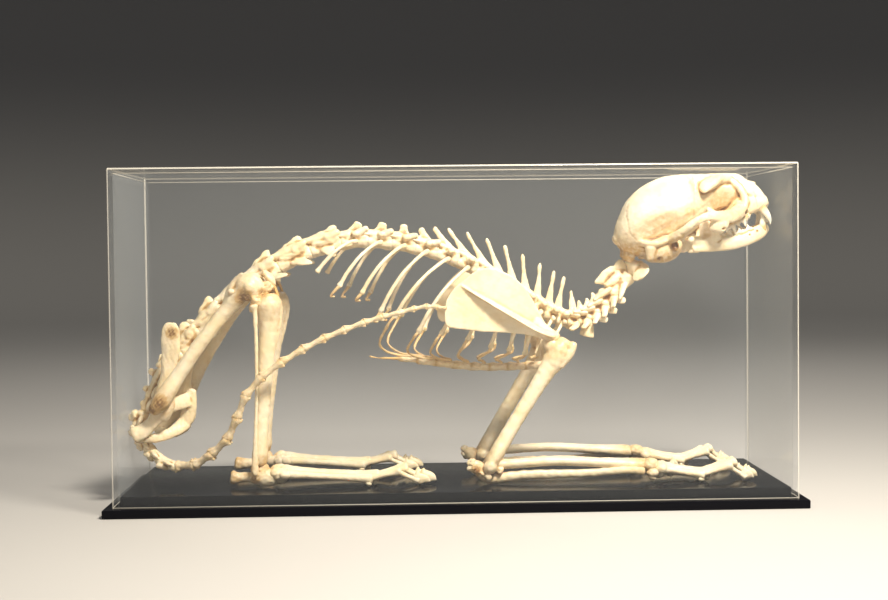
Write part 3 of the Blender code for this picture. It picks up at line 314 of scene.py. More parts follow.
def limb(shapes, top, end, front, outward, length):
    """Sets a limb bone from its top to its end, its front and outer side as given."""
    top = Vector(top)
    down = Vector(end) - top
    scale = down.length / length
    down.normalize()
    ahead = Vector(front)
    ahead = (ahead - down * ahead.dot(down)).normalized()
    across = down.cross(ahead)
    if across.y * outward < 0:
        across = -across
    return place(shapes, top, ahead, across, down * scale)


def mix(a, b, f):
    return a + (b - a) * f


# Fine surfaces: points in millimetres, with four-cornered faces

def fine_rows(rows, steps):
    """A smooth curve through the rows of a shape."""
    p = np.array(rows, float)
    if len(p) == 2:
        f = np.linspace(0, 1, 2 * steps + 1)[:, None]
        return p[0] * (1 - f) + p[1] * f
    p = np.vstack([2 * p[:1] - p[1:2], p, 2 * p[-1:] - p[-2:-1]])
    f = np.arange(steps)[:, None] / steps
    out = []
    for a, b, c, d in zip(p, p[1:], p[2:], p[3:]):
        out.append(0.5 * (2 * b + (c - a) * f + (2 * a - 5 * b + 4 * c - d) * f * f
                          + (3 * b - a - 3 * c + d) * f ** 3))
    out.append(p[-2:-1])
    out = np.vstack(out)
    out[:, 3:] = np.maximum(out[:, 3:], 0.28)
    return out


def loft(shape, steps, sides):
    """Points and faces of one shape, with domed ends."""
    rows, side, axis = shape
    rows = fine_rows(rows, steps)
    pts = rows[:, :3]
    way = np.gradient(pts, axis=0)
    if axis:
        way[:] = np.array(axis) * np.sign((pts[-1] - pts[0]) @ np.array(axis))
    way /= np.linalg.norm(way, axis=1)[:, None] + 1e-9
    rings = []
    for end in (0, -1):
        dome = 0.45 * min(rows[end, 3], rows[end, 4])
        sign = -1 if end == 0 else 1
        caps = []
        for out, size in ((0.6, 0.86), (1.0, 0.55)):
            row = rows[end].copy()
            row[:3] += way[end] * sign * dome * out
            row[3:] *= size
            caps.append(row)
        rings.append(caps)
    rows = np.vstack([rings[0][1], rings[0][0], rows, rings[1][0], rings[1][1]])
    way = np.vstack([way[:1], way[:1], way, way[-1:], way[-1:]])
    across = np.array(side, float) - way * (way @ np.array(side, float))[:, None]
    across /= np.linalg.norm(across, axis=1)[:, None] + 1e-9
    over = np.cross(way, across)
    angle = 2 * np.pi * np.arange(sides) / sides
    ring = (rows[:, None, :3] + across[:, None] * (rows[:, 3, None] * np.cos(angle))[..., None]
            + over[:, None] * (rows[:, 4, None] * np.sin(angle))[..., None])
    k = np.arange(sides)
    j = (k + 1) % sides
    faces = []
    for i in range(len(rows) - 1):
        quads = np.stack([i * sides + k, i * sides + j, (i + 1) * sides + j, (i + 1) * sides + k], 1)
        faces += quads.tolist()
    faces.append(list(range(sides))[::-1])
    faces.append([(len(rows) - 1) * sides + n for n in range(sides)])
    return ring.reshape(-1, 3), faces


def pairs(faces):
    """Each edge of closed faces, once in each direction."""
    return faces.ravel(), np.roll(faces, -1, axis=1).ravel()


def relax(co, faces, times, part=0.5):
    """Moves each point toward the middle of its neighbours."""
    a, b = pairs(faces)
    count = np.maximum(np.bincount(a, minlength=len(co)), 1)[:, None]
    for n in range(times):
        middle = np.stack([np.bincount(a, co[b, k], len(co)) for k in range(co.shape[1])], 1) / count
        co = co + (middle - co) * part
    return co


def normals(co, faces):
    n = np.cross(co[faces[:, 2]] - co[faces[:, 0]], co[faces[:, 3]] - co[faces[:, 1]])
    out = np.zeros_like(co)
    for k in range(4):
        for c in range(3):
            out[:, c] += np.bincount(faces[:, k], n[:, c], len(co))
    return out / (np.linalg.norm(out, axis=1)[:, None] + 1e-9)


def waves(co, size, seed):
    """A gentle random unevenness between about -1 and 1, with waves of about one size."""
    draw = np.random.default_rng(seed)
    total = np.zeros(len(co))
    for n in range(WAVE_COUNT):
        run = draw.normal(size=3)
        run *= 2 * np.pi / (size * draw.uniform(0.7, 1.4) * np.linalg.norm(run))
        total += np.sin(co @ run + draw.uniform(0, 6.28))
    return total / math.sqrt(WAVE_COUNT)


def press(co, centre, radii, push, both=False):
    """Pushes the points in an egg-shaped region, most at its middle."""
    for sign in ((1, -1) if both else (1,)):
        flip = np.array([1, sign, 1])
        near = 1 - (((co - np.array(centre) * flip) / np.array(radii)) ** 2).sum(1)
        near = np.clip(near, 0, 1)
        co = co + (near * near * (3 - 2 * near))[:, None] * (np.array(push) * flip)
    return co


# Surface of each kind of bone: grid cell, rounds of evening, steps between rows, sides of a loft
SKULL_SKIN = (0.39, 3, 5, 24)
JAW_SKIN = (0.36, 3, 4, 16)
TOOTH_SKIN = (0.24, 2, 3, 12)
FANG_SKIN = (0.26, 2, 4, 14)
PEG_SKIN = (0.16, 1, 3, 10)
VERTEBRA_SKIN = (0.42, 2, 3, 12)
SACRUM_SKIN = (0.42, 2, 3, 14)
TAIL_SKIN = (0.36, 2, 4, 14)
BLADE_SKIN = (0.34, 5, 4, 14)
PELVIS_SKIN = (0.42, 3, 5, 18)
LIMB_SKIN = (0.42, 3, 5, 20)
FOREARM_SKIN = (0.4, 3, 5, 18)
CALF_SKIN = (0.34, 2, 5, 14)
KNEECAP_SKIN = (0.3, 2, 4, 16)
PAD_SKIN = (0.34, 2, 4, 16)
ANKLE_SKIN = (0.36, 2, 4, 16)
TOE_SKIN = (0.3, 2, 4, 14)
CLAW_SKIN = (0.28, 2, 4, 14)
SMALL_SKIN = (0.34, 2, 4, 14)
THIN_SKIN = (0.3, 2, 5, 12)
RIB_GRISTLE_SKIN = (0.26, 2, 5, 12)


def skin(shapes, voxel, even, steps, sides, uneven=0.1, seed=1, work=None, gristle=0.0, sheets=()):
    """One smooth closed surface over all shapes, as a bone with its points, faces and marks."""
    verts, faces, start = [], [], 0
    for co, part in [loft(shape, steps, sides) for shape in shapes] + list(sheets):
        verts += co.tolist()
        faces += [[start + v for v in face] for face in part]
        start += len(co)
    mesh = bpy.data.meshes.new("work")
    mesh.from_pydata(verts, [], faces)
    bm = bmesh.new()
    bm.from_mesh(mesh)
    bmesh.ops.recalc_face_normals(bm, faces=bm.faces)
    bm.to_mesh(mesh)
    bm.free()
    thing = bpy.data.objects.new("work", mesh)
    bpy.context.scene.collection.objects.link(thing)
    cover = thing.modifiers.new("cover", "REMESH")
    cover.mode = "VOXEL"
    cover.voxel_size = voxel * GRID_SCALE
    graph = bpy.context.evaluated_depsgraph_get()
    smooth = bpy.data.meshes.new_from_object(thing.evaluated_get(graph))
    bpy.data.objects.remove(thing)
    co = np.empty(len(smooth.vertices) * 3)
    smooth.vertices.foreach_get("co", co)
    co = co.reshape(-1, 3)
    loops = np.empty(len(smooth.loops), int)
    smooth.loops.foreach_get("vertex_index", loops)
    quads = loops.reshape(-1, 4)
    bpy.data.meshes.remove(smooth)
    bpy.data.meshes.remove(mesh)
    co = relax(co, quads, even)
    if uneven:
        rough = waves(co, 6.0, seed) + 0.5 * waves(co, 2.6, seed + 7)
        co = co + normals(co, quads) * (uneven * rough)[:, None]
    seam = np.zeros(len(co))
    if work:
        co, seam = work(co, quads, seam)
    # Painted shade: the hollow mark is how far each point sits below its evened neighbours, in creases and
    # recesses; the bone finish darkens it to ochre and brown.
    way = normals(co, quads)
    near = relax(co, quads, 8, 0.7)
    far = relax(near, quads, 26, 0.8)
    small = ((near - co) * way).sum(1) / (0.42 * voxel)
    large = ((far - co) * way).sum(1) / (1.3 * voxel)
    hollow = np.clip(0.28 * np.clip(small, 0, 1) + 0.72 * np.clip(large, 0, 1.3), 0, 1)
    return {"co": co, "faces": quads, "hollow": relax(hollow[:, None], quads, 3)[:, 0], "seam": seam,
            "gristle": np.full(len(co), gristle), "stain_and_shade": np.zeros(len(co))}


def moved(bone, turn, spot=(0, 0, 0)):
    """A bone set by a turn with three ways as its rows."""
    out = dict(bone)
    out["co"] = bone["co"] @ np.array(turn, float) + np.array(spot, float)
    if np.linalg.det(np.array(turn, float)) < 0:
        out["faces"] = bone["faces"][:, ::-1]
    return out


def stained(co, spots=None):
    """How marked each point is, by its distance from the joints or from other spots."""
    total = np.zeros(len(co))
    for x, y, z, reach in STAINS if spots is None else spots:
        away = ((co - np.array((x, y, z))) ** 2).sum(1) / reach ** 2
        total = np.maximum(total, np.exp(-away))
    return total


def to_mesh(name, bones, stains_and_shade=True):
    """Joins bones into one mesh in metres."""
    co = np.vstack([bone["co"] for bone in bones])
    starts = np.cumsum([0] + [len(bone["co"]) for bone in bones[:-1]])
    faces = np.vstack([bone["faces"] + start for bone, start in zip(bones, starts)])
    mesh = bpy.data.meshes.new(name)
    mesh.vertices.add(len(co))
    mesh.vertices.foreach_set("co", (co * MM).ravel())
    mesh.loops.add(faces.size)
    mesh.loops.foreach_set("vertex_index", faces.ravel())
    mesh.polygons.add(len(faces))
    mesh.polygons.foreach_set("loop_start", np.arange(0, faces.size, 4))
    mesh.update(calc_edges=True)
    marks = {key: np.concatenate([bone[key] for bone in bones]) for key in ("hollow", "seam", "gristle")}
    own = np.concatenate([bone["stain_and_shade"] for bone in bones])
    # Painted shade: the more a point faces down, the more ochre it gets, on top of the joint colour.
    below = 0.34 * np.clip(-normals(co, faces)[:, 2] + 0.1, 0, 1)
    if stains_and_shade:
        marks["stain_and_shade"] = np.clip(np.maximum(own, stained(co)) + below, 0, 1)
        dark = 1.25 * stained(co, DARK_SPOTS) * np.clip(0.85 + 0.3 * waves(co, 1.6, 3), 0, 1)
        marks["hollow"] = np.clip(np.maximum(marks["hollow"], dark), 0, 1)
    else:
        marks["stain_and_shade"] = own
    for key, values in marks.items():
        mesh.attributes.new(key, "FLOAT", "POINT").data.foreach_set("value", values)
    mesh.shade_smooth()
    return mesh


def dress(name, mesh, nodes, finish):
    """Makes a mesh a finished piece of the object."""
    thing = bpy.data.objects.new(name, mesh)
    bpy.context.scene.collection.objects.link(thing)
    if finish is not None:
        mesh.materials.clear()
        mesh.materials.append(finish)
    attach(thing, "root")
    if nodes:
        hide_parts(*nodes)


def piece(name, bones, *nodes, finish=None):
    dress(name, to_mesh(name, bones), nodes, finish or BONE_FINISH)


# Spine: middle of each vertebra's body, seen from the side

NECK = [(109.7, 134.4), (99.8, 125.5), (92.8, 117.4), (87.9, 111.9), (83.1, 108.0), (77.8, 105.2),
        (71.9, 103.9)]
CHEST = [(65.4, 104.4), (58.6, 107.2), (51.4, 111.2), (44.2, 116.0), (36.6, 120.9), (28.3, 126.3),
         (19.2, 131.9), (8.7, 137.6), (-2.8, 142.8), (-15.6, 147.1), (-29.0, 150.4),
         (-43.0, 152.4), (-57.6, 152.8)]
LOIN = [(-74.8, 149.8), (-93.4, 142.8), (-111.6, 132.4), (-127.6, 120.2), (-141.8, 106.6),
        (-154.2, 93.4), (-164.2, 82.4)]
SACRAL = [(-171.0, 73.2), (-175.8, 65.0), (-179.6, 57.2)]
LOIN_TIPS = [(-70.6, 162.8), (-92.5, 156.6), (-110.8, 148.3), (-128.6, 132.8), (-146.0, 121.2),
             (-161.0, 106.4), (-173.6, 87.4)]
NECK_TIPS = [None, None, (87.1, 122.5), (83.2, 120.8), (80.0, 117.8), (75.2, 116.6), (70.8, 122.1)]
CHEST_TIPS = [(66.7, 130.6), (60.9, 134.2), (52.5, 138.9), (42.0, 144.5), (31.6, 149.6),
              (20.7, 153.9), (9.0, 157.8), (-2.3, 160.4), (-10.6, 160.9), (-18.6, 160.6),
              (-28.8, 162.8), (-40.6, 163.9), (-55.2, 164.2)]


def spine_frame(path, i):
    """Middle of a vertebra, with its forward and upward directions."""
    here = path[i]
    ahead = path[max(i - 1, 0)]
    behind = path[min(i + 1, len(path) - 1)]
    way = Vector((ahead[0] - behind[0], 0, ahead[1] - behind[1]))
    way.normalize()
    up = Vector((-way.z, 0, way.x))
    return here, way, up


SPINE = NECK + CHEST + LOIN + SACRAL
CHEST_FIRST = len(NECK)
LOIN_FIRST = CHEST_FIRST + len(CHEST)
SACRAL_FIRST = LOIN_FIRST + len(LOIN)


def spine_y(i):
    """The neck leans out a little, toward the skull's plane."""
    if i >= CHEST_FIRST:
        return BODY_Y
    return mix(SKULL_Y, BODY_Y, i / CHEST_FIRST)


def set_vertebra(shapes, i):
    here, way, up = spine_frame(SPINE, i)
    return place(shapes, (here[0], spine_y(i), here[1]), way, (0, 1, 0), up)


def own_point(i, spot):
    """A side-view point in the frame of one vertebra."""
    here, way, up = spine_frame(SPINE, i)
    off = Vector((spot[0] - here[0], 0, spot[1] - here[1]))
    return off.dot(way), off.dot(up)


def body(length, wide, high):
    half = length / 2 - 0.3
    return tube([(-half, 0, 0, wide, high), (-half * 0.6, 0, 0, wide * 0.96, high * 0.97),
                 (0, 0, 0, wide * 0.8, high * 0.84),
                 (half * 0.6, 0, 0, wide * 0.96, high * 0.97), (half, 0, 0, wide, high)])


def spacing(i):
    """How far a vertebra reaches along the spine, up to its neighbours."""
    spots = [np.array(SPINE[k], float) for k in (i - 1, i, i + 1)]
    return 0.5 * (np.linalg.norm(spots[1] - spots[0]) + np.linalg.norm(spots[2] - spots[1]))


def neck():
    bones = []
    atlas = bead((0, 0, 0.6), 4.6, 8.0, 7.0)
    atlas += wings((1.5, 4, 0, 4.8, 2.6), (-0.5, 10, -1.5, 6.2, 1.7), (-2.0, 15, -2.6, 5.8, 1.2),
                   (-3.6, 18, -3.2, 3.4, 0.8))
    atlas += tube([(2.5, 0, 6.6, 4.0, 1.2), (-2.4, 0, 7.4, 3.6, 1.2)])
    bones.append(set_vertebra(atlas, 0))
    tail_x, tail_z = own_point(1, (84.9, 127.4))
    nose_x, nose_z = own_point(1, (99.0, 141.6))
    axis = body(14, 5.0, 4.8)
    axis += tube([(tail_x, 0, tail_z, 1.3, 1.2), (mix(tail_x, 0, 0.35), 0, tail_z - 1.4, 1.3, 3.0),
                  (mix(tail_x, 0, 0.8), 0, tail_z - 3.2, 1.3, 5.2),
                  (mix(nose_x, 0, 0.5), 0, nose_z - 5.5, 1.2, 5.6),
                  (nose_x, 0, nose_z - 1.6, 0.9, 1.8)])
    axis += tube([(-6.4, 0, 6.2, 5.0, 1.6), (-2, 0, 5, 4.6, 3.0), (4.0, 0, 5.0, 4.0, 3.0)])
    axis += wings((2, 3, -1, 2.4, 2.0), (-3.5, 7.5, -3.0, 1.8, 1.3), (-7.0, 9.0, -4.4, 1.0, 0.9))
    bones.append(set_vertebra(axis, 1))
    for i in range(2, len(NECK)):
        long = spacing(i)
        tip_x, tip_z = own_point(i, NECK_TIPS[i])
        bone = body(long - 0.5, 4.6, 4.0)
        bone += tube([(-long * 0.42, 0, 3.0, 4.0, 3.0), (long * 0.42, 0, 2.6, 4.6, 3.0)])
        bone += mirrored(tube([(-long * 0.72, 4.4, 6.6, 2.2, 1.0), (-long * 0.2, 4.0, 5.4, 2.4, 1.9),
                               (long * 0.34, 4.6, 4.0, 2.4, 1.9), (long * 0.62, 5.2, 3.6, 2.2, 1.0)]))
        bone += tube([(-long * 0.5, 0, 5.8, 3.8, 1.1), (0, 0, 6.2, 3.6, 1.4),
                      (long * 0.3, 0, 5.4, 3.6, 1.1)])
        bone += tube([(0.6, 0, 5.4, 1.3, 3.0), (mix(0.6, tip_x, 0.5), 0, mix(5.4, tip_z, 0.5), 0.8, 1.9),
                      (tip_x, 0, tip_z, 0.8, 0.9)])
        bone += wings((1.6, 3, -1.0, 2.6, 2.0), (0.4, 7.2, -2.6, 2.2, 1.5),
                      (-2.6, 10.2, -4.0, 1.8, 1.0))
        if i == 5:
            bone += wings((2.6, 4, -2, 2.0, 1.6), (0.5, 5.6, -6.5, 3.4, 1.1),
                          (-1.6, 6.2, -10.0, 4.0, 0.9))
        elif i < 5:
            bone += wings((2.2, 4, -1.5, 2.0, 1.5), (3.6, 5.8, -4.8, 2.6, 1.0),
                          (5.2, 6.6, -7.4, 1.8, 0.8))
        bones.append(set_vertebra(bone, i))
    return bones


def chest():
    bones = []
    for n in range(len(CHEST)):
        i = CHEST_FIRST + n
        long = spacing(i)
        tip_x, tip_z = own_point(i, CHEST_TIPS[n])
        late = min(1.0, max(0.0, (n - 7) / 4))
        bone = body(long - 0.6, mix(4.0, 4.9, late), mix(3.6, 4.4, late))
        bone += tube([(-long * 0.30, 0, 2.8, mix(3.6, 4.4, late), 3.0),
                      (long * 0.42, 0, 2.6, mix(4.0, 4.8, late), 3.2)])
        bone += tube([(-long * 0.74, 0, 6.0, 2.2, 0.9), (-long * 0.46, 0, 5.6, 3.4, 1.7),
                      (0, 0, 5.4, 3.6, 2.2),
                      (long * 0.38, 0, 4.8, 4.0, 1.8)])
        broad = mix(1.7, 3.6, late)
        root = (-4.2, -4.0, -4.0, -3.8, -3.2, -2.4, -1.6, -0.8, -0.4, -0.4, -0.4, -0.4, -0.4)[n]
        bone += tube([(root, 0, 4.0, 2.0, broad + 2.0),
                      (mix(root, tip_x, 0.25), 0, mix(4.8, tip_z, 0.25), 1.1, broad + 0.6),
                      (mix(root, tip_x, 0.65), 0, mix(4.8, tip_z, 0.65), 0.8,
                       broad * mix(0.76, 0.86, late)),
                      (mix(root, tip_x, 0.93), 0, mix(4.8, tip_z, 0.93), 1.0, broad * 0.78),
                      (tip_x, 0, tip_z, 0.9, broad * 0.5)])
        reach = mix(8.4, 5.8, late)
        bone += wings((0.6, 2, 3.4, 2.6, 2.2), (0.8, reach * 0.7, 4.6, 2.1, 1.9),
                      (0.6, reach, 5.0, 2.2, 1.7))
        if n > 8:
            bone += mirrored(spike((long * 0.16, 3.4, 5.0), (long * 0.48, 4.4, 7.4), 2.6, 1.7)
                             + spike((-long * 0.2, 3.0, 4.6), (-long * 0.66, 4.2, 4.4), 1.5, 0.8))
        bones.append(set_vertebra(bone, i))
    return bones


def loin():
    bones = []
    for n in range(len(LOIN)):
        i = LOIN_FIRST + n
        long = spacing(i)
        wide, f = mix(5.0, 6.4, n / 6), n / 6
        bone = body(long - 0.7, wide, mix(4.4, 5.0, f))
        bone += tube([(-long * 0.34, 0, 3.6, 5.4, 3.6), (long * 0.42, 0, 3.4, 5.6, 3.8)])
        bone += tube([(-long * 0.56, 0, 6.6, 4.0, 1.7), (-long * 0.3, 0, 6.2, 5.2, 3.0),
                      (long * 0.1, 0, 6.0, 5.5, 3.6),
                      (long * 0.44, 0, 5.6, 5.5, 2.8)])
        lean, high = own_point(i, LOIN_TIPS[n])
        root = -long * 0.06
        bone += tube([(root, 0, 5.0, 2.8, long * 0.47),
                      (mix(root, lean, 0.4) - 0.4, 0, mix(5.4, high, 0.42), 2.0, long * 0.38),
                      (mix(root, lean, 0.75) - 1.2, 0, mix(6.0, high, 0.76), 1.5, long * 0.28),
                      (lean - 1.6, 0, high - 1.3, 1.4, long * 0.20),
                      (lean - 0.9, 0, high - 0.2, 1.0, long * 0.11)],
                     axis=(0, 0, 1))
        reach = (8.5, 11.0, 12.4, 12.6, 13.2, 12.0, 9.6)[n]
        far = (4.0, 9.0, 13.0, 15.5, 16.0, 14.5, 9.0)[n]
        bone += wings((0.5, 3.5, -0.6, 4.6, 1.7),
                      (far * 0.45, mix(3.5, reach, 0.6), -3.4, 3.2, 1.1),
                      (far * 0.8, reach * 0.94, -5.4, 2.0, 0.8), (far, reach, -6.6, 0.9, 0.6))
        bone += mirrored(tube([(long * 0.10, 3.4, 5.2, 2.8, 3.2), (long * 0.38, 4.2, 6.2, 2.2, 2.4),
                               (long * 0.52, 4.6, 7.2, 1.4, 1.6)]))
        bone += mirrored(tube([(-long * 0.2, 2.8, 6.2, 1.8, 2.2), (-long * 0.66, 2.8, 7.6, 1.3, 1.2)]))
        bones.append(set_vertebra(bone, i))
    return bones


def sacrum():
    shapes = []
    for n in range(len(SACRAL)):
        i = SACRAL_FIRST + n
        size = 1.0 - 0.2 * n
        bone = body(9.0, 6.4 * size, 4.4 * size)
        bone += tube([(-4.5, 0, 4.2 * size, 5.0 * size, 2.8), (4, 0, 4.4 * size, 5.6 * size, 3.0)])
        bone += tube([(-1, 0, 5 * size, 1.2, 3.4), (-1.6, 0, 10.6 * size, 0.9, 1.6)])
        reach = (12.0, 9.0, 7.6)[n]
        bone += wings((0.5, 3, 0, 5.0, 2.6), (0.5, reach, 0, (5.6, 4.6, 3.6)[n], 2.0))
        shapes += set_vertebra(bone, i)
    return shapes


# Tail: a route from the rump, under the seat and up along the right side

TAIL_ROUTE = [(-182.0, -7, 52.4), (-184.0, -8, 46.0), (-183.6, -9, 39.6), (-179.6, -12, 33.4),
              (-171.5, -17, 25.6), (-161.0, -22, 22.6), (-150.0, -27, 24.6), (-139.5, -31, 32.5),
              (-129.8, -36, 42.5), (-124.0, -40, 56.5), (-117.0, -43.5, 70.5), (-101.0, TAIL_Y, 83.5),
              (-78.0, TAIL_Y, 96.6), (-50.0, TAIL_Y, 107.4), (-30.0, TAIL_Y, 112.6),
              (-16.0, TAIL_Y, 115.6), (-5.0, TAIL_Y, 114.2)]
TAIL_LENGTHS = ([7.2, 7.6, 8.4, 9.6, 11.0] + [12.6, 13.6, 14.2, 14.6, 14.8, 14.8, 14.6]
                + [14.2, 13.6, 12.8, 12.0, 11.0, 10.0, 8.6, 7.4, 6.2, 5.0])


def curve_points(route, steps=8):
    """A smooth line through route."""
    pts = [Vector(p) for p in route]
    pts = [pts[0] * 2 - pts[1]] + pts + [pts[-1] * 2 - pts[-2]]
    out = []
    for i in range(1, len(pts) - 2):
        a, b, c, d = pts[i - 1:i + 3]
        for k in range(steps):
            f = k / steps
            out.append(0.5 * (2 * b + (c - a) * f + (2 * a - 5 * b + 4 * c - d) * f * f
                              + (3 * b - a - 3 * c + d) * f ** 3))
    out.append(pts[-2])
    return out


def along(points, distance):
    """The spot on a line at a distance from its start."""
    left = distance
    for a, b in zip(points, points[1:]):
        step = (b - a).length
        if left <= step:
            return a + (b - a) * (left / step)
        left -= step
    return points[-1]


# Ribs: lower end and greatest reach to the side, front to back

RIB_ENDS = [(57.0, 85.0), (50.0, 84.5), (42.0, 85.5), (32.5, 88.0), (21.5, 90.0), (8.0, 95.0),
            (-7.5, 98.5), (-20.9, 99.8), (-34.8, 108.6), (-42.6, 112.2), (-53.4, 123.0),
            (-66.4, 127.2), (-79.4, 135.6)]
RIB_REACH = [10.5, 14.0, 17.0, 19.5, 21.5, 23.5, 25.5, 27.0, 28.0, 28.5, 28.0, 25.0, 19.0]
RIB_END_REACH = [7.5, 9.0, 11.0, 13.0, 15.0, 18.0, 20.5, 22.5, 25.0, 26.5, 27.0, 24.5, 19.0]
BREAST_SPOTS = [(57.5, 81.6), (48.5, 80.8), (39.0, 80.2), (29.0, 79.9), (19.0, 80.0), (9.0, 80.7),
                (-1.0, 81.8), (-9.5, 82.8), (-17.5, 84.4)]


def rib(n, lag):
    """One rib of the left side and its cartilage, about the body's middle plane; lag moves its end."""
    here, way, up = spine_frame(SPINE, CHEST_FIRST + n)
    head = Vector((here[0], 0, here[1])) + way * 1.2 + up * 0.4
    end = Vector((RIB_ENDS[n][0] + lag, 0, RIB_ENDS[n][1] - 0.3 * lag))
    run = end - head
    bow = Vector((run.z, 0, -run.x)) * 0.075
    rows = []
    for f, reach, rise, thick in ((0.0, 4.6, 0.0, 1.5), (0.05, 9.8, 0.4, 1.5), (0.12, 0.0, 1.2, 1.2),
                                  (0.3, 0.0, 1.1, 1.1), (0.5, 0.0, 0.7, 1.15), (0.75, 0.0, 0.2, 1.25),
                                  (0.92, 0.0, 0.0, 1.3), (0.97, 0.0, 0.0, 1.7), (1.0, 0.0, 0.0, 1.7)):
        spot = head + run * f + bow * math.sin(math.pi * f) + up * rise
        if reach:
            y = reach
        elif f < 0.62:
            y = RIB_REACH[n] * (1.0 - 0.62 * (1.0 - f / 0.62) ** 2)
        else:
            y = mix(RIB_REACH[n], RIB_END_REACH[n], ((f - 0.62) / 0.38) ** 2)
        rows.append((spot.x, max(y, reach), spot.z, 0.72 * thick, thick))
    end.y = RIB_END_REACH[n]
    down = run.normalized()
    if n < 9:
        stop = Vector((BREAST_SPOTS[n][0], 2.6, BREAST_SPOTS[n][1]))
        drop = max(3.0, end.z - stop.z)
        low = Vector((min(end.x, stop.x) - 1.0 - 0.32 * drop, mix(end.y, 2.6, 0.4),
                      mix(end.z, stop.z, 0.66)))
        turn = Vector((mix(low.x, stop.x, 0.36), mix(end.y, 2.6, 0.8), stop.z + 1.5))
        spots = [end - down * 1.5, end + down * min(4.0, 0.3 * drop), low, turn, stop]
    else:
        hook = (7.0, 5.4, 8.0, 0.0)[n - 9]
        if not hook:
            return tube(rows), []
        spots = [end - down * 1.5, end + down * hook * 0.5, end + down * hook + Vector((0.4, -1.0, 0)),
                 end + down * hook * 0.96 + Vector((2.6, -1.6, -0.4))]
    thin = [1.15, 0.95] + [0.78] * (len(spots) - 2)
    return tube(rows), tube([(*spot, size, size) for spot, size in zip(spots, thin)])


# Limb bones: each in its own frame, x to the front, y outward, z from top to end

FEMUR_LONG = 86.4
TIBIA_LONG = 97.5
HUMERUS_LONG = 80.3


def femur():
    shapes = tube([(0, 1.5, -6, 3.6, 3.4), (-0.5, 1.5, 1, 6.2, 5.4), (0, 1, 10, 5.4, 5.0),
                   (0.8, 0, 22, 4.3, 4.3), (1.4, 0, 45, 4.1, 4.1), (0.8, 0, 66, 4.5, 4.3),
                   (0.4, 0, 76, 6.8, 5.6), (0, 0, 85, 8.0, 6.0)])
    shapes += tube([(0, 0, 4, 3.6, 3.6), (0.4, -8.5, -1.5, 3.0, 3.0)], side=(1, 0, 0))
    shapes += bead((0.4, -10.6, -2.6), 4.6, 4.6)
    shapes += mirrored(bead((-2.6, 4.9, 86.4), 4.2, 8.4, 8.4, along=(0, 1, 0), side=(1, 0, 0)))
    shapes += tube([(4.2, 0, 70, 2.4, 1.4), (5.8, 0, 80, 5.0, 2.6), (4.6, 0, 89, 5.2, 2.6)])
    return shapes


def tibia():
    shapes = tube([(-0.5, 0, -1.5, 8.0, 7.2), (0, 0, 1.5, 9.0, 8.2), (0.4, 0, 6, 8.0, 7.4),
                   (0.8, 0, 13, 5.8, 6.2), (0.8, 0, 24, 4.5, 5.2), (0.4, 0, 45, 3.9, 4.6),
                   (0, 0, 70, 3.8, 4.1), (0, 0, 86, 4.9, 4.2), (0, 0, 93, 6.4, 4.8),
                   (0, 0, 97, 6.0, 4.2)])
    shapes += tube([(7.2, 0, 3, 2.4, 1.6), (7.0, -0.4, 12, 1.6, 1.6), (4.8, -0.6, 28, 1.0, 1.2)])
    shapes += spike((-0.5, -5.2, 93), (-0.5, -5.6, 101.5), 2.4, 1.5)
    return shapes


def humerus():
    shapes = tube([(1.5, 0, -4.5, 4.4, 4.6), (1.2, 0, 0, 6.6, 7.2), (1.4, 0, 7, 6.4, 6.8),
                   (0.8, 0, 16, 5.0, 5.2), (0.4, 0, 32, 4.1, 4.4), (0, 0, 52, 4.0, 4.2),
                   (0, 0, 64, 5.4, 4.4), (0, 0, 72, 7.6, 4.4), (0, 0, 79, 8.2, 4.2)])
    shapes += bead((-3.6, -1.0, 1.0), 5.8, 5.8, 5.8)
    shapes += tube([(6.2, 2.4, 9, 2.6, 2.0), (6.6, 2.6, 0, 3.4, 3.0), (6.0, 2.4, -6.5, 2.4, 2.0)])
    shapes += tube([(0.4, -8.4, 80.5, 2.4, 2.6), (0.4, -6.0, 80.5, 4.4, 4.2), (0.4, 0, 80.5, 3.4, 3.5),
                    (0.4, 5.4, 80.5, 4.2, 4.3), (0.4, 8.2, 80.0, 2.6, 2.8)], side=(1, 0, 0))
    return shapes


def forearm(elbow, wrist, outward):
    """Radius above and ulna below, from an elbow to a wrist that lie on the floor."""
    ex, ey, ez = elbow
    wx, wy, wz = wrist
    run = wx - ex
    radius = tube([(ex + 5.4, ey, ez + 0.9, 4.4, 3.6), (ex + 9.0, ey, ez + 0.8, 3.8, 3.0),
                   (ex + 14.5, ey + 0.6 * outward, ez + 1.1, 2.9, 2.9),
                   (ex + run * 0.45, ey + 0.6 * outward, ez + 2.2, 3.2, 2.8),
                   (ex + run * 0.78, ey, wz + 1.8, 3.8, 3.0),
                   (wx - 7, wy - 0.6 * outward, wz + 0.6, 5.2, 3.9),
                   (wx - 1.0, wy - 0.6 * outward, wz + 0.4, 5.6, 3.8)])
    low = FLOOR + GAP
    ulna = tube([(ex - 9.6, ey, ez + 0.8, 2.8, 3.0), (ex - 6.4, ey, ez - 1.4, 3.4, 4.2),
                 (ex - 1.0, ey, low + 3.2, 3.4, 3.2), (ex + 7.0, ey, low + 3.4, 3.0, 3.2),
                 (ex + 22, ey, low + 4.8, 2.4, 3.0),
                 (ex + run * 0.6, ey + 0.8 * outward, low + 5.4, 2.0, 2.5),
                 (wx - 12, wy + 4.4 * outward, wz - 2.0, 1.9, 2.3),
                 (wx - 1.5, wy + 6.4 * outward, wz - 2.4, 1.9, 2.4)])
    return radius, ulna


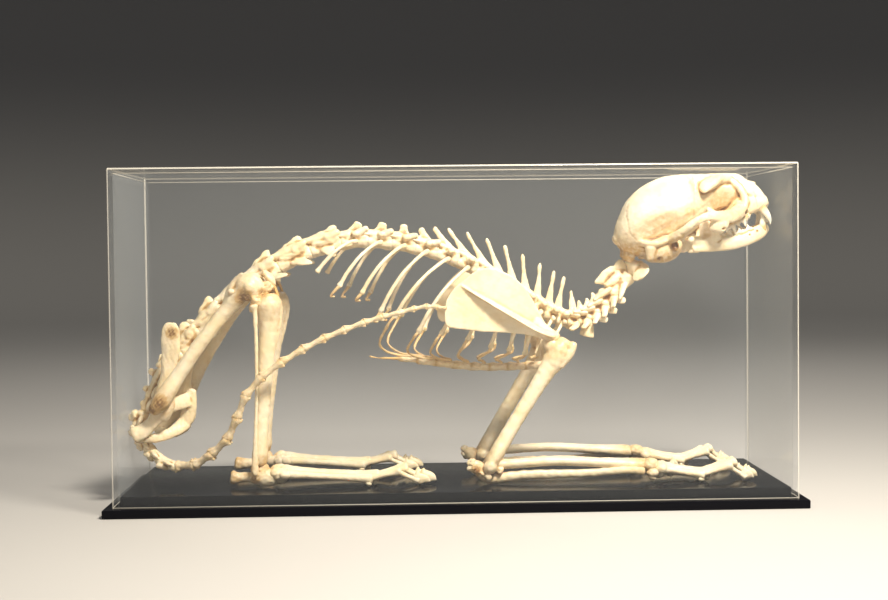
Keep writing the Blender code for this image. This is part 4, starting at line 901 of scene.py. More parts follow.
def toe(joints, thick):
    """A row of toe bones through joints, with knobs at the joints and a claw at the end."""
    shapes = []
    for n in range(len(joints) - 2):
        a, b = Vector(joints[n]), Vector(joints[n + 1])
        t = thick * (1.0, 0.86, 0.74)[n]
        way = b - a
        shapes += tube([(*(a - way.normalized() * 0.3 * t), t * 0.95, t * 0.9),
                        (*(a + way * 0.24), t * 0.66, t * 0.62), (*(a + way * 0.76), t * 0.66, t * 0.62),
                        (*(b + way.normalized() * 0.5 * t), t, t * 0.95)])
    a, b = Vector(joints[-2]), Vector(joints[-1])
    t = thick * 0.7
    claw = tube([(a.x - 0.6, a.y, a.z - 0.4, t * 0.8, t * 1.0),
                 (a.x + 1.4, a.y, a.z + 0.6, t * 0.7, t * 1.5),
                 (mix(a.x, b.x, 0.7), a.y, a.z + 0.2, t * 0.45, t * 0.9), (*b, 0.3, 0.35)])
    claw += tube([(a.x + 0.8, a.y, a.z + 1.0, t * 0.55, t * 0.9),
                  (a.x + 0.6, a.y, a.z + 3.4, t * 0.45, t * 0.6),
                  (a.x + 1.2, a.y, a.z + 5.2, 0.3, 0.4)])
    return shapes, claw


# Shoulder blade: outline from the side, and how far it leans out toward the back

BLADE = [(-3.5, 102.5), (-5.2, 115.4), (-1.0, 124.0), (5.9, 130.2), (13.0, 135.2), (20.8, 136.8),
         (31.8, 133.1), (40.0, 126.6), (47.6, 115.0), (53.2, 104.2), (58.6, 97.4), (56.2, 91.8),
         (50.0, 95.6), (36.8, 98.4), (16.0, 99.8)]
BLADE_THICK = 1.6


def blade_y(x):
    return mix(27.0, 23.0, (x + 5.0) / 63.0)


def scapula(outward, shift_x, shift_z):
    """Returns the plate's outline, and the loft shapes of its spine, neck and socket."""
    plate = [(x + shift_x, BODY_Y + blade_y(x) * outward, z + shift_z) for x, z in BLADE]
    rows = []
    for x, z, rise, thin in ((4.5, 126.6, 0.9, 0.7), (16.0, 120.6, 2.6, 0.7), (34.0, 110.6, 4.0, 0.8),
                             (49.0, 102.2, 4.4, 1.0), (57.6, 97.4, 2.4, 1.5)):
        lift = blade_y(x) + rise - 0.2 + (1.6 if x > 55 else 0.0)
        rows.append((x, lift, z - 0.42 * rise + 0.6, rise * 1.08, thin))
    shapes = tube(rows, side=(0, 1, -0.42))
    shapes += tube([(46.0, blade_y(46), 104.4, 2.0, 4.6), (53.5, blade_y(53), 98.6, 3.6, 4.2),
                    (58.2, blade_y(57), 94.9, 4.8, 4.8)])
    shapes = place(shapes, (shift_x, BODY_Y, shift_z), (1, 0, 0), (0, outward, 0), (0, 0, 1))
    return plate, shapes


# Pelvis: each half in a frame with y outward from its own middle, then turned a little

PELVIS_Y = -8.0
PELVIS_TURN = 0.21


def pelvis():
    half = tube([(-161.0, 17.0, 106.6, 1.3, 3.2), (-161.2, 17.2, 103.0, 1.6, 5.4),
                 (-161.6, 16.4, 94.0, 1.7, 6.0), (-163.0, 15.0, 84.0, 2.1, 5.2),
                 (-164.6, 14.2, 74.0, 3.0, 4.6), (-166.2, 14.6, 65.0, 4.0, 5.8),
                 (-167.2, 15.2, 57.0, 4.4, 6.6), (-168.6, 15.2, 51.5, 3.6, 5.4)])
    half += tube([(-167.0, 15.2, 57.0, 4.0, 5.4), (-172.8, 15.6, 49.0, 2.8, 4.0),
                  (-178.6, 16.4, 43.8, 2.6, 4.4), (-183.4, 17.0, 41.6, 2.8, 4.8)])
    half += tube([(-182.5, 16.0, 39.6, 2.0, 2.8), (-172.5, 10.5, 39.2, 1.6, 3.0),
                  (-164.0, 5.0, 42.6, 1.5, 3.6), (-159.4, 1.2, 47.0, 1.6, 4.6)])
    half += tube([(-165.0, 13.2, 57.6, 3.0, 3.8), (-159.6, 7.0, 59.4, 1.9, 4.4),
                  (-156.4, 0.9, 60.6, 1.7, 4.6)])
    half += tube([(-154.8, 0.8, 66.0, 1.4, 2.2), (-156.8, 0.8, 60.0, 1.6, 4.2),
                  (-158.0, 0.8, 51.0, 1.6, 4.8),
                  (-162.6, 0.8, 44.0, 1.5, 3.6)])
    return place(mirrored(half), (0, PELVIS_Y, 0), (1, 0, 0), (PELVIS_TURN, 1, 0), (0, 0, 1))


# Skull and lower jaw: x forward from the front teeth, z up, y outward

COS_HEAD = math.cos(math.radians(HEAD_PITCH))
SIN_HEAD = math.sin(math.radians(HEAD_PITCH))
HEAD_TURN = ((COS_HEAD, 0, SIN_HEAD), (0, 1, 0), (-SIN_HEAD, 0, COS_HEAD))
HEAD_SPOT = (NOSE[0], SKULL_Y, NOSE[1])


def on_head(bone):
    return moved(bone, HEAD_TURN, HEAD_SPOT)


def vault(sections):
    """A loft across the head from x, top, bottom and half width."""
    rows = [(x, 0, (top + low) / 2, wide, (top - low) / 2) for x, top, low, wide in sections]
    return tube(rows, axis=(1, 0, 0))


def skull_shapes():
    shapes = vault([(-91.0, 22.0, 16.0, 5.5), (-88.6, 26.4, 10.5, 11.5), (-85.0, 31.0, 7.0, 15.5),
                    (-79.0, 37.6, 5.2, 19.2), (-71.0, 42.6, 5.0, 21.4), (-61.0, 45.3, 5.8, 22.2),
                    (-51.5, 45.7, 7.0, 21.2), (-44.0, 44.2, 9.0, 18.4), (-37.0, 42.4, 12.0, 15.4),
                    (-30.0, 40.3, 15.0, 14.8), (-22.0, 38.0, 14.0, 12.8), (-15.0, 35.6, 12.0, 11.6),
                    (-9.6, 33.4, 10.0, 11.4), (-5.6, 28.4, 9.4, 11.0), (-2.0, 24.8, 9.2, 9.8),
                    (-0.2, 20.6, 9.2, 8.8), (0.8, 14.5, 9.2, 7.4)])
    shapes += vault([(-66.0, 13.0, 4.6, 7.5), (-52.0, 16.0, 5.6, 6.0), (-38.0, 20.0, 4.4, 7.5),
                     (-22.0, 22.0, 3.6, 7.8)])
    shapes += vault([(-40.0, 12.0, 5.0, 9.0), (-32.0, 13.0, 6.0, 13.5), (-24.0, 17.0, 7.6, 16.4),
                     (-17.0, 23.0, 8.6, 15.6), (-11.0, 24.0, 8.8, 13.0), (-5.0, 21.0, 8.6, 11.2),
                     (-0.4, 17.0, 8.2, 8.6)])
    arch = tube([(-16.4, 13.5, 14.0, 5.0, 3.4), (-20.5, 19.5, 12.6, 4.4, 2.6),
                 (-26.0, 25.0, 12.0, 4.0, 2.0),
                 (-33.0, 29.0, 14.0, 3.4, 1.7), (-40.0, 31.2, 16.4, 2.6, 1.5),
                 (-48.0, 31.6, 15.8, 2.3, 1.5),
                 (-56.0, 27.6, 12.6, 2.3, 2.0), (-62.5, 19.0, 10.6, 2.4, 3.4)], side=(0, 0, 1))
    knob = bead((-35.0, 27.0, 9.4), 5.6, 3.6, 4.8, rings=5)
    brow = tube([(-18.0, 8.0, 31.6, 4.4, 3.0), (-26.0, 10.6, 33.4, 5.6, 3.6), (-32.0, 14.6, 32.6, 5.0, 3.0),
                 (-34.6, 17.8, 30.8, 2.8, 1.8), (-35.4, 19.0, 29.8, 1.4, 1.0)], side=(1, 0, 0))
    cheek = tube([(-37.0, 30.2, 17.0, 2.6, 1.2), (-38.8, 29.0, 21.0, 1.2, 0.8)], side=(1, 0, 0))
    ledge = tube([(-57.0, 26.5, 10.5, 2.6, 1.6), (-60.5, 22.5, 9.6, 2.6, 1.8),
                  (-63.0, 17.0, 9.0, 2.0, 2.0)],
                 side=(1, 0, 0))
    crest = tube([(-64.0, 20.0, 11.0, 1.6, 2.4), (-74.0, 18.6, 11.0, 1.6, 2.4),
                  (-82.0, 14.6, 15.0, 1.5, 2.6),
                  (-87.2, 9.0, 18.6, 1.4, 2.2), (-89.6, 4.4, 19.8, 1.2, 1.5), (-91.0, 0.6, 20.0, 1.2, 1.3)],
                 side=(1, 0, 0))
    bulla = bead((-67.0, 12.6, 5.4), 10.2, 7.2, 7.8, rings=6)
    hook = tube([(-75.0, 16.8, 9.0, 3.6, 3.4), (-77.4, 16.6, 3.0, 2.0, 1.4)], side=(1, 0, 0))
    condyle = bead((-86.6, 5.2, 8.8), 3.6, 3.4, 4.6, rings=5)
    rim = tube([(-17.6, 8.6, 33.0, 1.8, 1.4), (-13.8, 12.2, 26.0, 1.9, 1.5), (-13.2, 14.4, 18.0, 2.2, 1.8),
                (-16.4, 16.6, 13.0, 2.2, 1.8)], side=(1, 0, 0))
    palate = tube([(-1.6, 4.6, 13.4, 4.2, 4.6), (-6.0, 7.2, 13.6, 4.2, 5.0), (-12.0, 9.4, 13.4, 4.0, 5.0),
                   (-19.0, 11.8, 12.2, 3.9, 4.6), (-26.0, 13.8, 10.4, 3.4, 3.6),
                   (-31.0, 14.4, 8.4, 2.8, 2.8)])
    wing = tube([(-36.0, 6.4, 8.0, 6.0, 0.9), (-42.0, 6.8, 5.4, 5.0, 0.8), (-47.0, 7.0, 2.4, 1.2, 0.7)],
                side=(0, 0, 1))
    pair = arch + knob + brow + cheek + ledge + crest + bulla + hook + condyle + rim + palate + wing
    spine = tube([(-5.0, 0, 26.6, 2.0, 1.0), (-1.2, 0, 24.9, 1.2, 0.6)], side=(0, 1, 0))
    return shapes + mirrored(pair) + spine


# Sutures of the skull from the side: x and z
SUTURES = (((-36.5, 42.0), (-38.8, 35.6), (-41.5, 29.2), (-44.6, 21.5), (-46.0, 15.0)),
           ((-77.0, 39.6), (-82.0, 31.0), (-84.0, 21.0), (-80.0, 13.0)),
           ((-9.0, 32.6), (-13.0, 29.0), (-15.6, 24.6), (-18.0, 20.0)),
           ((-3.6, 25.6), (-6.0, 20.0), (-6.8, 12.0)),
           ((-45.0, 16.0), (-50.0, 13.2)))


def skull_work(co, faces, seam):
    way = normals(co, faces)
    co = press(co, (-25.0, 18.5, 21.0), (13.5, 11.0, 10.5), (0, -2.4, 0), both=True)
    co = press(co, (-68.0, 23.0, 18.5), (19.0, 9.0, 9.0), (0, -1.7, 0), both=True)
    co = press(co, (-61.6, 20.0, 5.6), (3.3, 9.0, 3.6), (0.6, -4.0, 0), both=True)
    co = press(co, (1.6, 0, 17.2), (7.0, 5.6, 6.6), (-7.0, 0, -0.4))
    co = press(co, (-14.6, 16.6, 10.6), (1.8, 5.0, 1.6), (-1.0, -3.0, 0), both=True)
    co = press(co, (-33.6, 28.0, 6.8), (1.7, 3.4, 1.3), (0, -1.8, 0), both=True)
    co = press(co, (-91.0, 0, 12.0), (5.0, 5.4, 4.6), (5.0, 0, 0))
    co = press(co, (-72.0, 17.0, 1.0), (1.8, 5.0, 1.6), (0, -1.6, 1.0), both=True)
    co = press(co, (-25.0, 0, 39.5), (14.0, 3.2, 4.0), (0, 0, -1.0))
    wiggle = 0.5 * waves(co, 2.6, 4) + 0.4 * waves(co, 1.1, 5)
    for line in SUTURES:
        for (x0, z0), (x1, z1) in zip(line, line[1:]):
            run = np.array((x1 - x0, z1 - z0))
            off = co[:, [0, 2]] - (x0, z0)
            f = np.clip(off @ run / (run @ run), 0, 1)
            away = np.abs(np.hypot(*(off - f[:, None] * run).T) + 0.45 * wiggle)
            seam = np.maximum(seam, np.exp(-(away / 0.42) ** 2) * (np.abs(co[:, 1]) > 6))
    seam = np.maximum(seam, np.exp(-((co[:, 1] + 0.4 * wiggle) / 0.35) ** 2) * (co[:, 2] > 30))
    outer = np.abs(way[:, 1]) + np.maximum(way[:, 2], 0)
    seam = seam * np.clip(outer * 2 - 0.6, 0, 1)
    return co - way * (0.16 * seam)[:, None], seam * 0.30


def skull_stains_and_shade(bone):
    """Ochre clouds: painted shade in the temples, the orbits and under the arches and braincase, and ochre
    patches of the bone itself on the brow and crown.
    """
    co = bone["co"]
    total = np.zeros(len(co))
    for spot, radii, deep in (((-68, 20, 17), (20, 14, 9), 0.55), ((-27, 10, 34), (8, 9, 6), 0.6),
                              ((-46, 21, 21), (6, 9, 4), 0.6), ((-26, 16, 17), (12, 12, 9), 0.85),
                              ((-66, 14, 1), (16, 12, 7), 0.8), ((-86, 6, 10), (10, 12, 8), 1.0),
                              ((-21, 14, 15), (8, 8, 6), 0.9), ((-62, 19, 7), (5, 7, 5), 1.0),
                              ((-40, 12, 36), (2.2, 14, 6), 0.7), ((-58, 24, 10), (10, 8, 2.6), 0.7)):
        for sign in (1, -1):
            d = (co - np.array(spot) * (1, sign, 1)) / np.array(radii)
            total = np.maximum(total, deep * np.exp(-(d ** 2).sum(1)))
    bone["stain_and_shade"] = total
    return bone


def tooth(cusps, root, seed):
    """A crown from its cusps, each with a root, a tip, a thickness and a point."""
    shapes = []
    for base, tip, thick, point in cusps:
        middle = [mix(a, b, 0.55) for a, b in zip(base, tip)]
        shapes += tube([(*base, thick * 1.2, thick),
                        (*middle, mix(thick, point, 0.3) * 1.15, mix(thick, point, 0.35)),
                        (*tip, point * 1.2, point * 1.2)], side=(1, 0, 0))
    bone = skin(shapes, *TOOTH_SKIN, 0.02, seed)
    height = np.abs(bone["co"][:, 2] - root)
    span = max(height.max(), 1.0)
    bone["stain_and_shade"] = np.clip(1.0 - height / (0.6 * span), 0, 1) ** 1.5
    return bone


def cheek_tooth(front, back, y_front, y_back, root, cusps, thick, seed):
    """A shearing tooth: cusps are how far along it each stands, and how tall."""
    parts = []
    for f, tall in cusps:
        x, y = mix(front, back, f), mix(y_front, y_back, f)
        parts.append(((x, y, root), (x - 0.3, y, root + tall), thick, 0.28))
    parts.append(((mix(front, back, 0.3), mix(y_front, y_back, 0.3), root),
                  (mix(front, back, 0.75), mix(y_front, y_back, 0.75), root + 0.35 * cusps[0][1]),
                  thick, 0.9))
    return tooth(parts, root, seed)


def upper_teeth():
    teeth = []
    for side in (-1, 1):
        shapes = tube([(-5.4, 7.6 * side, 13.0, 2.6, 2.1), (-3.6, 8.0 * side, 9.4, 2.6, 1.9),
                       (-2.2, 8.4 * side, 5.4, 2.0, 1.5), (-1.7, 8.6 * side, 2.0, 1.2, 0.95),
                       (-2.2, 8.6 * side, -1.0, 0.32, 0.3)], side=(1, 0, 0))
        fang = skin(shapes, *FANG_SKIN, 0.02, 3)
        fang["stain_and_shade"] = np.clip((fang["co"][:, 2] - 6.4) / 4.0, 0, 1)
        teeth.append(fang)
        teeth.append(cheek_tooth(-12.4, -14.4, 12.0 * side, 12.4 * side, 8.8, ((0.5, -2.2),), 0.9, 5))
        teeth.append(cheek_tooth(-15.0, -20.4, 12.8 * side, 14.6 * side, 8.4,
                                 ((0.45, -5.4), (0.05, -2.6), (0.95, -2.8)), 1.35, 6))
        teeth.append(cheek_tooth(-20.8, -31.0, 15.2 * side, 17.2 * side, 7.8,
                                 ((0.38, -6.4), (0.08, -3.4), (0.85, -4.6)), 1.6, 7))
        teeth.append(cheek_tooth(-31.4, -33.0, 15.6 * side, 14.8 * side, 6.6, ((0.5, -1.8),), 0.9, 8))
    return teeth


def jaw_shapes():
    half = tube([(-3.8, 1.6, -2.0, 2.0, 3.2), (-9.0, 6.0, -3.2, 2.4, 4.2), (-16.0, 10.0, -3.9, 2.1, 4.3),
                 (-26.0, 13.6, -3.7, 2.0, 4.3), (-36.0, 17.2, -1.6, 2.0, 4.5), (-45.0, 20.0, 1.4, 1.8, 5.0),
                 (-52.5, 22.0, 0.8, 1.4, 2.6)])
    half += tube([(-41.0, 19.6, 1.0, 6.8, 1.5), (-41.2, 21.4, 7.0, 5.6, 1.2), (-42.0, 22.4, 12.0, 4.0, 1.0),
                  (-43.6, 22.6, 15.6, 1.8, 0.8)], side=(1, 0, 0))
    half += tube([(-47.0, 20.6, 3.4, 3.2, 1.8), (-52.6, 22.6, 6.4, 2.4, 1.8)], side=(0, 0, 1))
    half += tube([(-52.8, 17.4, 6.6, 2.0, 1.9), (-52.8, 27.0, 6.6, 2.0, 1.9)], side=(1, 0, 0))
    half += tube([(-50.0, 20.6, -0.6, 2.0, 1.2), (-55.6, 21.6, 0.2, 1.0, 0.8)], side=(0, 0, 1))
    return mirrored(half)


def jaw_work(co, faces, seam):
    co = press(co, (-42.0, 24.4, 6.6), (7.0, 4.0, 7.0), (0, -1.3, 0), both=True)
    co = press(co, (-11.0, 10.0, -2.2), (1.1, 3.0, 0.9), (0, -1.2, 0), both=True)
    co = press(co, (-16.5, 13.0, -2.6), (0.9, 3.0, 0.8), (0, -1.0, 0), both=True)
    seam = np.exp(-((co[:, 1] + 0.3 * waves(co, 1.4, 2)) / 0.3) ** 2) * (co[:, 0] > -9) * 0.6
    return co, seam


def lower_teeth():
    teeth = []
    for side in (-1, 1):
        shapes = tube([(-7.0, 5.0 * side, -3.0, 2.3, 1.9), (-5.4, 5.3 * side, 1.4, 2.0, 1.6),
                       (-4.6, 5.6 * side, 4.6, 1.2, 1.0), (-4.9, 5.7 * side, 7.4, 0.32, 0.3)],
                      side=(1, 0, 0))
        fang = skin(shapes, *FANG_SKIN, 0.02, 3)
        fang["stain_and_shade"] = np.clip((1.8 - fang["co"][:, 2]) / 3.0, 0, 1)
        teeth.append(fang)
        teeth.append(cheek_tooth(-13.4, -18.4, 9.4 * side, 11.4 * side, -0.6,
                                 ((0.42, 4.4), (0.05, 2.2), (0.95, 2.4)), 1.2, 6))
        teeth.append(cheek_tooth(-19.0, -25.0, 11.8 * side, 13.4 * side, -0.6,
                                 ((0.42, 5.0), (0.05, 2.6), (0.95, 2.8)), 1.3, 7))
        teeth.append(cheek_tooth(-25.6, -33.4, 13.6 * side, 15.6 * side, -0.4,
                                 ((0.28, 5.2), (0.78, 5.4)), 1.5, 8))
    return teeth


# Repeats along a line, by Geometry Nodes

def repeat_tree():
    """Sets a link on every point, turned and sized by the point's own values."""
    tree = bpy.data.node_groups.new("links_on_points", "GeometryNodeTree")
    face = tree.interface
    sockets = {}
    for name, kind in (("Geometry", "NodeSocketGeometry"), ("Link", "NodeSocketObject"),
                       ("Size", "NodeSocketFloat"), ("Finish", "NodeSocketMaterial")):
        sockets[name] = face.new_socket(name, in_out="INPUT", socket_type=kind).identifier
    face.new_socket("Geometry", in_out="OUTPUT", socket_type="NodeSocketGeometry")
    nodes, join = tree.nodes, tree.links.new
    start = nodes.new("NodeGroupInput")
    info = nodes.new("GeometryNodeObjectInfo")
    turn = nodes.new("GeometryNodeInputNamedAttribute")
    size = nodes.new("GeometryNodeInputNamedAttribute")
    for node, name in ((turn, "turn"), (size, "size")):
        node.data_type = "FLOAT_VECTOR"
        node.inputs["Name"].default_value = name
    scale = nodes.new("ShaderNodeVectorMath")
    scale.operation = "SCALE"
    join(size.outputs["Attribute"], scale.inputs[0])
    join(start.outputs["Size"], scale.inputs["Scale"])
    join(start.outputs["Link"], info.inputs["Object"])
    put = nodes.new("GeometryNodeInstanceOnPoints")
    join(start.outputs["Geometry"], put.inputs["Points"])
    join(info.outputs["Geometry"], put.inputs["Instance"])
    join(turn.outputs["Attribute"], put.inputs["Rotation"])
    join(scale.outputs["Vector"], put.inputs["Scale"])
    real = nodes.new("GeometryNodeRealizeInstances")
    join(put.outputs["Instances"], real.inputs["Geometry"])
    paint = nodes.new("GeometryNodeSetMaterial")
    join(real.outputs["Geometry"], paint.inputs["Geometry"])
    join(start.outputs["Finish"], paint.inputs["Material"])
    end = nodes.new("NodeGroupOutput")
    join(paint.outputs["Geometry"], end.inputs["Geometry"])
    return tree, sockets


REPEAT, REPEAT_SOCKETS = repeat_tree()


def repeated(name, link, spots, finish):
    """A mesh with one link bone for each spot: its middle, the way it points, its up and its size."""
    helper = bpy.data.objects.new(name + "_link", to_mesh(name + "_link", [link], stains_and_shade=False))
    bpy.context.scene.collection.objects.link(helper)
    points = bpy.data.meshes.new(name + "_points")
    points.from_pydata([Vector(mid) * MM for mid, way, up, size in spots], [], [])
    turns, sizes = [], []
    for mid, way, up, size in spots:
        x = Vector(way).normalized()
        y = Vector(up).cross(x).normalized()
        z = x.cross(y)
        turns += Matrix((x, y, z)).transposed().to_euler()
        sizes += size
    points.attributes.new("turn", "FLOAT_VECTOR", "POINT").data.foreach_set("vector", turns)
    points.attributes.new("size", "FLOAT_VECTOR", "POINT").data.foreach_set("vector", sizes)
    thing = bpy.data.objects.new(name, points)
    bpy.context.scene.collection.objects.link(thing)
    links = thing.modifiers.new("links", "NODES")
    links.node_group = REPEAT
    links[REPEAT_SOCKETS["Link"]] = helper
    links[REPEAT_SOCKETS["Size"]] = 1.0
    links[REPEAT_SOCKETS["Finish"]] = finish
    graph = bpy.context.evaluated_depsgraph_get()
    mesh = bpy.data.meshes.new_from_object(thing.evaluated_get(graph))
    bpy.data.objects.remove(thing)
    bpy.data.objects.remove(helper)
    co = np.empty(len(mesh.vertices) * 3)
    mesh.vertices.foreach_get("co", co)
    stain_and_shade = stained(co.reshape(-1, 3) / MM)
    mark = mesh.attributes.get("stain_and_shade")
    own = np.empty(len(stain_and_shade))
    mark.data.foreach_get("value", own)
    mark.data.foreach_set("value", np.maximum(own, stain_and_shade))
    mesh.shade_smooth()
    mesh.name = name
    return mesh


# Joints of each side: the two ends of a bone, or one spot
HIPS = {"right": ((-171.4, -28, 60.8), (-119.6, -29, 129.0)),
        "left": ((-164.6, 14, 58.4), (-120.6, 19, 129.6))}
SHINS = {"right": ((-107.6, -30, 118.6), (-113.8, -30, 25.0)),
         "left": ((-107.0, 19, 118.8), (-116.6, 27, 25.2))}
ARMS = {"right": ((61.0, -30, 90.0), (19.6, -32, 21.8)),
        "left": ((57.0, 18, 91.0), (18.6, 26, 22.2))}
WRISTS = {"right": (110.5, -31.5, 20.6), "left": (111.0, 28.0, 20.8)}
HEELS = {"right": (-129.8, -30.5, 17.6), "left": (-133.6, 28.5, 17.6)}
FORE_REACH = {"right": 64.5, "left": 61.5}
HIND_REACH = {"right": 118.5, "left": 115.5}
SHOULDER_SHIFT = (-3.0, 1.0)
OUTWARD = {"right": -1, "left": 1}

# Gristle at the knee: whole step to the front, steps outward and up, half sizes and dryness
KNEE_PADS = ((7, 0, -5.4, 6.5, 7.0, 2.2, 0.8), (6, 6.0, -9.0, 3.6, 3.0, 4.4, 0.35),
             (11, 3.6, -1.6, 4.0, 3.0, 3.6, 0.3), (4, 6.0, -13.0, 2.6, 2.4, 4.0, 0.5),
             (10, -4.6, -5.0, 4.4, 2.6, 3.6, 0.4))
# Rough knobs at the elbow: steps to the front, outward and up, and half size
ELBOW_KNOBS = ((-10.4, 1.0, 2.0, 2.4), (-9.6, 1.6, -1.4, 2.8), (-5.0, 3.6, -3.6, 2.6),
               (5.6, 3.4, -2.4, 2.6), (-1.0, 5.2, -5.6, 2.2))

# Dark spots and ochre stains: x, y, z and reach
DARK_SPOTS = [(-170.5, -37.0, 61.0, 5.0), (-176.0, -33.0, 57.0, 3.6), (-164.0, -27.5, 101.0, 3.4),
              (-120.5, -35.0, 121.5, 5.2),
              (-110.0, -37.0, 124.0, 2.6), (-121.0, -36.0, 21.5, 3.6), (-117.0, -37.0, 16.0, 3.2),
              (12.0, -37.0, 20.0, 3.0), (52.0, -37.0, 86.0, 2.6)]
STAINS = [(x, spine_y(CHEST_FIRST), z, 5.0) for x, z in SACRAL]
for side in ("right", "left"):
    for spots, reach in ((HIPS, 9.0), (SHINS, 8.0), (ARMS, 8.0)):
        STAINS += [(*spots[side][0], reach), (*spots[side][1], reach)]
    STAINS += [(*WRISTS[side], 8.0), (*HEELS[side], 8.0)]


def vertebrae(prefix, shape_lists, *nodes, uneven=0.13):
    bones = [skin(shapes, *VERTEBRA_SKIN, uneven, 10 + n) for n, shapes in enumerate(shape_lists)]
    piece(prefix, bones, *nodes)


# Head
piece("skull_bone", [on_head(skull_stains_and_shade(skin(skull_shapes(), *SKULL_SKIN, 0.09, 1, skull_work)))],
      "skull")
piece("upper_teeth", [on_head(bone) for bone in upper_teeth()], finish=TOOTH_FINISH)
piece("jaw_bone", [on_head(skin(jaw_shapes(), *JAW_SKIN, 0.07, 2, jaw_work))], "mandible")
piece("lower_teeth", [on_head(bone) for bone in lower_teeth()], finish=TOOTH_FINISH)

# Front teeth: one small peg, repeated
peg = skin(tube([(-1.2, 0, 0, 0.9, 0.6), (0.6, 0, 0, 0.85, 0.6), (2.4, 0, 0, 0.8, 0.36)]),
           *PEG_SKIN, 0.0)
peg["stain_and_shade"] = np.clip(-peg["co"][:, 0], 0, 1)
front = []
for side in (-1, 1):
    for n in range(3):
        y = (1.1 + 2.0 * n) * side
        for x, z, down in ((0.0 - 0.35 * n, 8.2, -1), (-1.9 - 0.5 * n, 1.2, 1)):
            spot = np.array((x, y, z)) @ np.array(HEAD_TURN) + HEAD_SPOT
            way = np.array((0.15, 0, down)) @ np.array(HEAD_TURN)
            size = (1.15 + 0.12 * n, 1.0 + 0.1 * n, 1.0) if down < 0 else (0.8, 0.8 + 0.1 * n, 0.9)
            front.append((spot, way, (0.97, 0, 0.2), size))
dress("front_teeth", repeated("front_teeth", peg, front, TOOTH_FINISH), (), None)

# Spine
vertebrae("neck_bones", neck(), "neck_vertebrae")
vertebrae("chest_bones", chest(), "chest_vertebrae")
vertebrae("loin_bones", loin(), "loin_vertebrae", uneven=0.16)
piece("sacral_bone", [skin(sacrum(), *SACRUM_SKIN, 0.2, 31)], "sacrum")

# Tail
link_rows = [(-5.1, 0, 0, 2.5, 2.5), (-4.4, 0, 0, 3.0, 3.0), (-3.0, 0, 0, 2.6, 2.5), (0, 0, 0, 2.0, 2.0),
             (2.8, 0, 0, 2.3, 2.3), (4.2, 0, 0, 2.9, 2.9), (5.1, 0, 0, 2.5, 2.5)]
link = tube(link_rows)
link += mirrored(spike((3.4, 1.2, 1.6), (5.2, 1.7, 3.4), 1.1, 0.6)
                 + spike((-3.6, 1.2, -1.2), (-4.8, 1.4, -3.6), 1.0, 0.6)
                 + spike((-4.0, 0.8, 1.6), (-4.6, 1.0, 3.1), 0.9, 0.6))
tail_link = skin(link, *SMALL_SKIN, 0.2, 41)
tail_link["stain_and_shade"] = 0.25 + 0.5 * np.clip(np.abs(tail_link["co"][:, 0]) / 5.0, 0, 1) ** 3
route = curve_points(TAIL_ROUTE)
route_long = sum((b - a).length for a, b in zip(route, route[1:]))
stretch = (route_long - 0.2) / sum(TAIL_LENGTHS)
tail_bones, links, start = [], {"tail_base": [], "tail_middle": [], "tail_tip": []}, 0.0
for n, long in enumerate(TAIL_LENGTHS):
    a, b = along(route, start * stretch), along(route, (start + long) * stretch)
    way = (b - a).normalized()
    knob = mix(4.6, 1.5, min(1.0, (n / 21) ** 0.62))
    up = Vector((way.z, 0, -way.x)) if n < 6 else Vector((-way.z, 0, way.x))
    if n < 5:
        half = long * stretch / 2
        shapes = tube([(-half, 0, 0, knob, knob * 0.95), (0, 0, 0, knob * 0.78, knob * 0.74),
                       (half, 0, 0, knob, knob * 0.95)])
        shapes += wings((0, 1, 0, 3.4, 1.8), (-1.5, (8.6, 8.0, 7.0, 6.0, 4.8)[n], -0.8, 2.4, 1.1))
        shapes += tube([(0.5, 0, knob * 0.7, 2.8, 2.6), (-0.2, 0, (6.8, 6.4, 5.8, 5.0, 4.2)[n], 1.3, 2.2)])
        shapes += mirrored(tube([(half * 0.4, 2.0, knob * 0.7, 1.9, 1.9),
                                 (half * 1.1, 2.8, knob * 1.1, 1.4, 1.5)]))
        middle = (a + b) / 2 + Vector((-3.0 + 0.6 * n, 0, -0.4))
        tail_bones.append(skin(place(shapes, middle, -way, (0, 1, 0), up), *TAIL_SKIN, 0.16, 50 + n))
    else:
        name = "tail_middle" if n < 12 else "tail_tip"
        links[name].append(((a + b) / 2, way * -1, up, (long * stretch / 10.1, knob / 3.0, knob / 3.0)))
    start += long
piece("tail_root_bones", tail_bones, "tail_base")
for name in ("tail_middle", "tail_tip"):
    dress(name + "_bones", repeated(name + "_bones", tail_link, links[name], BONE_FINISH), (name,), None)


# Rib cage
def rib_bone(n, outward):
    bones = []
    lag = min(4.0, 1.2 * n) if outward > 0 else 0.0
    for shapes, grade, dry in zip(rib(n, lag), (THIN_SKIN, RIB_GRISTLE_SKIN), (0.0, 0.6)):
        if shapes:
            shapes = place(shapes, (0, BODY_Y, 0), (1, 0, 0), (0, outward, 0), (0, 0, 1))
            bones.append(skin(shapes, *grade, 0.05 + 0.1 * dry, 60 + n, gristle=dry))
    return bones


for side in ("right", "left"):
    bones = []
    for n in range(len(CHEST)):
        bones += rib_bone(n, OUTWARD[side])
    piece("rib_bones_" + side, bones, "ribs_" + side)

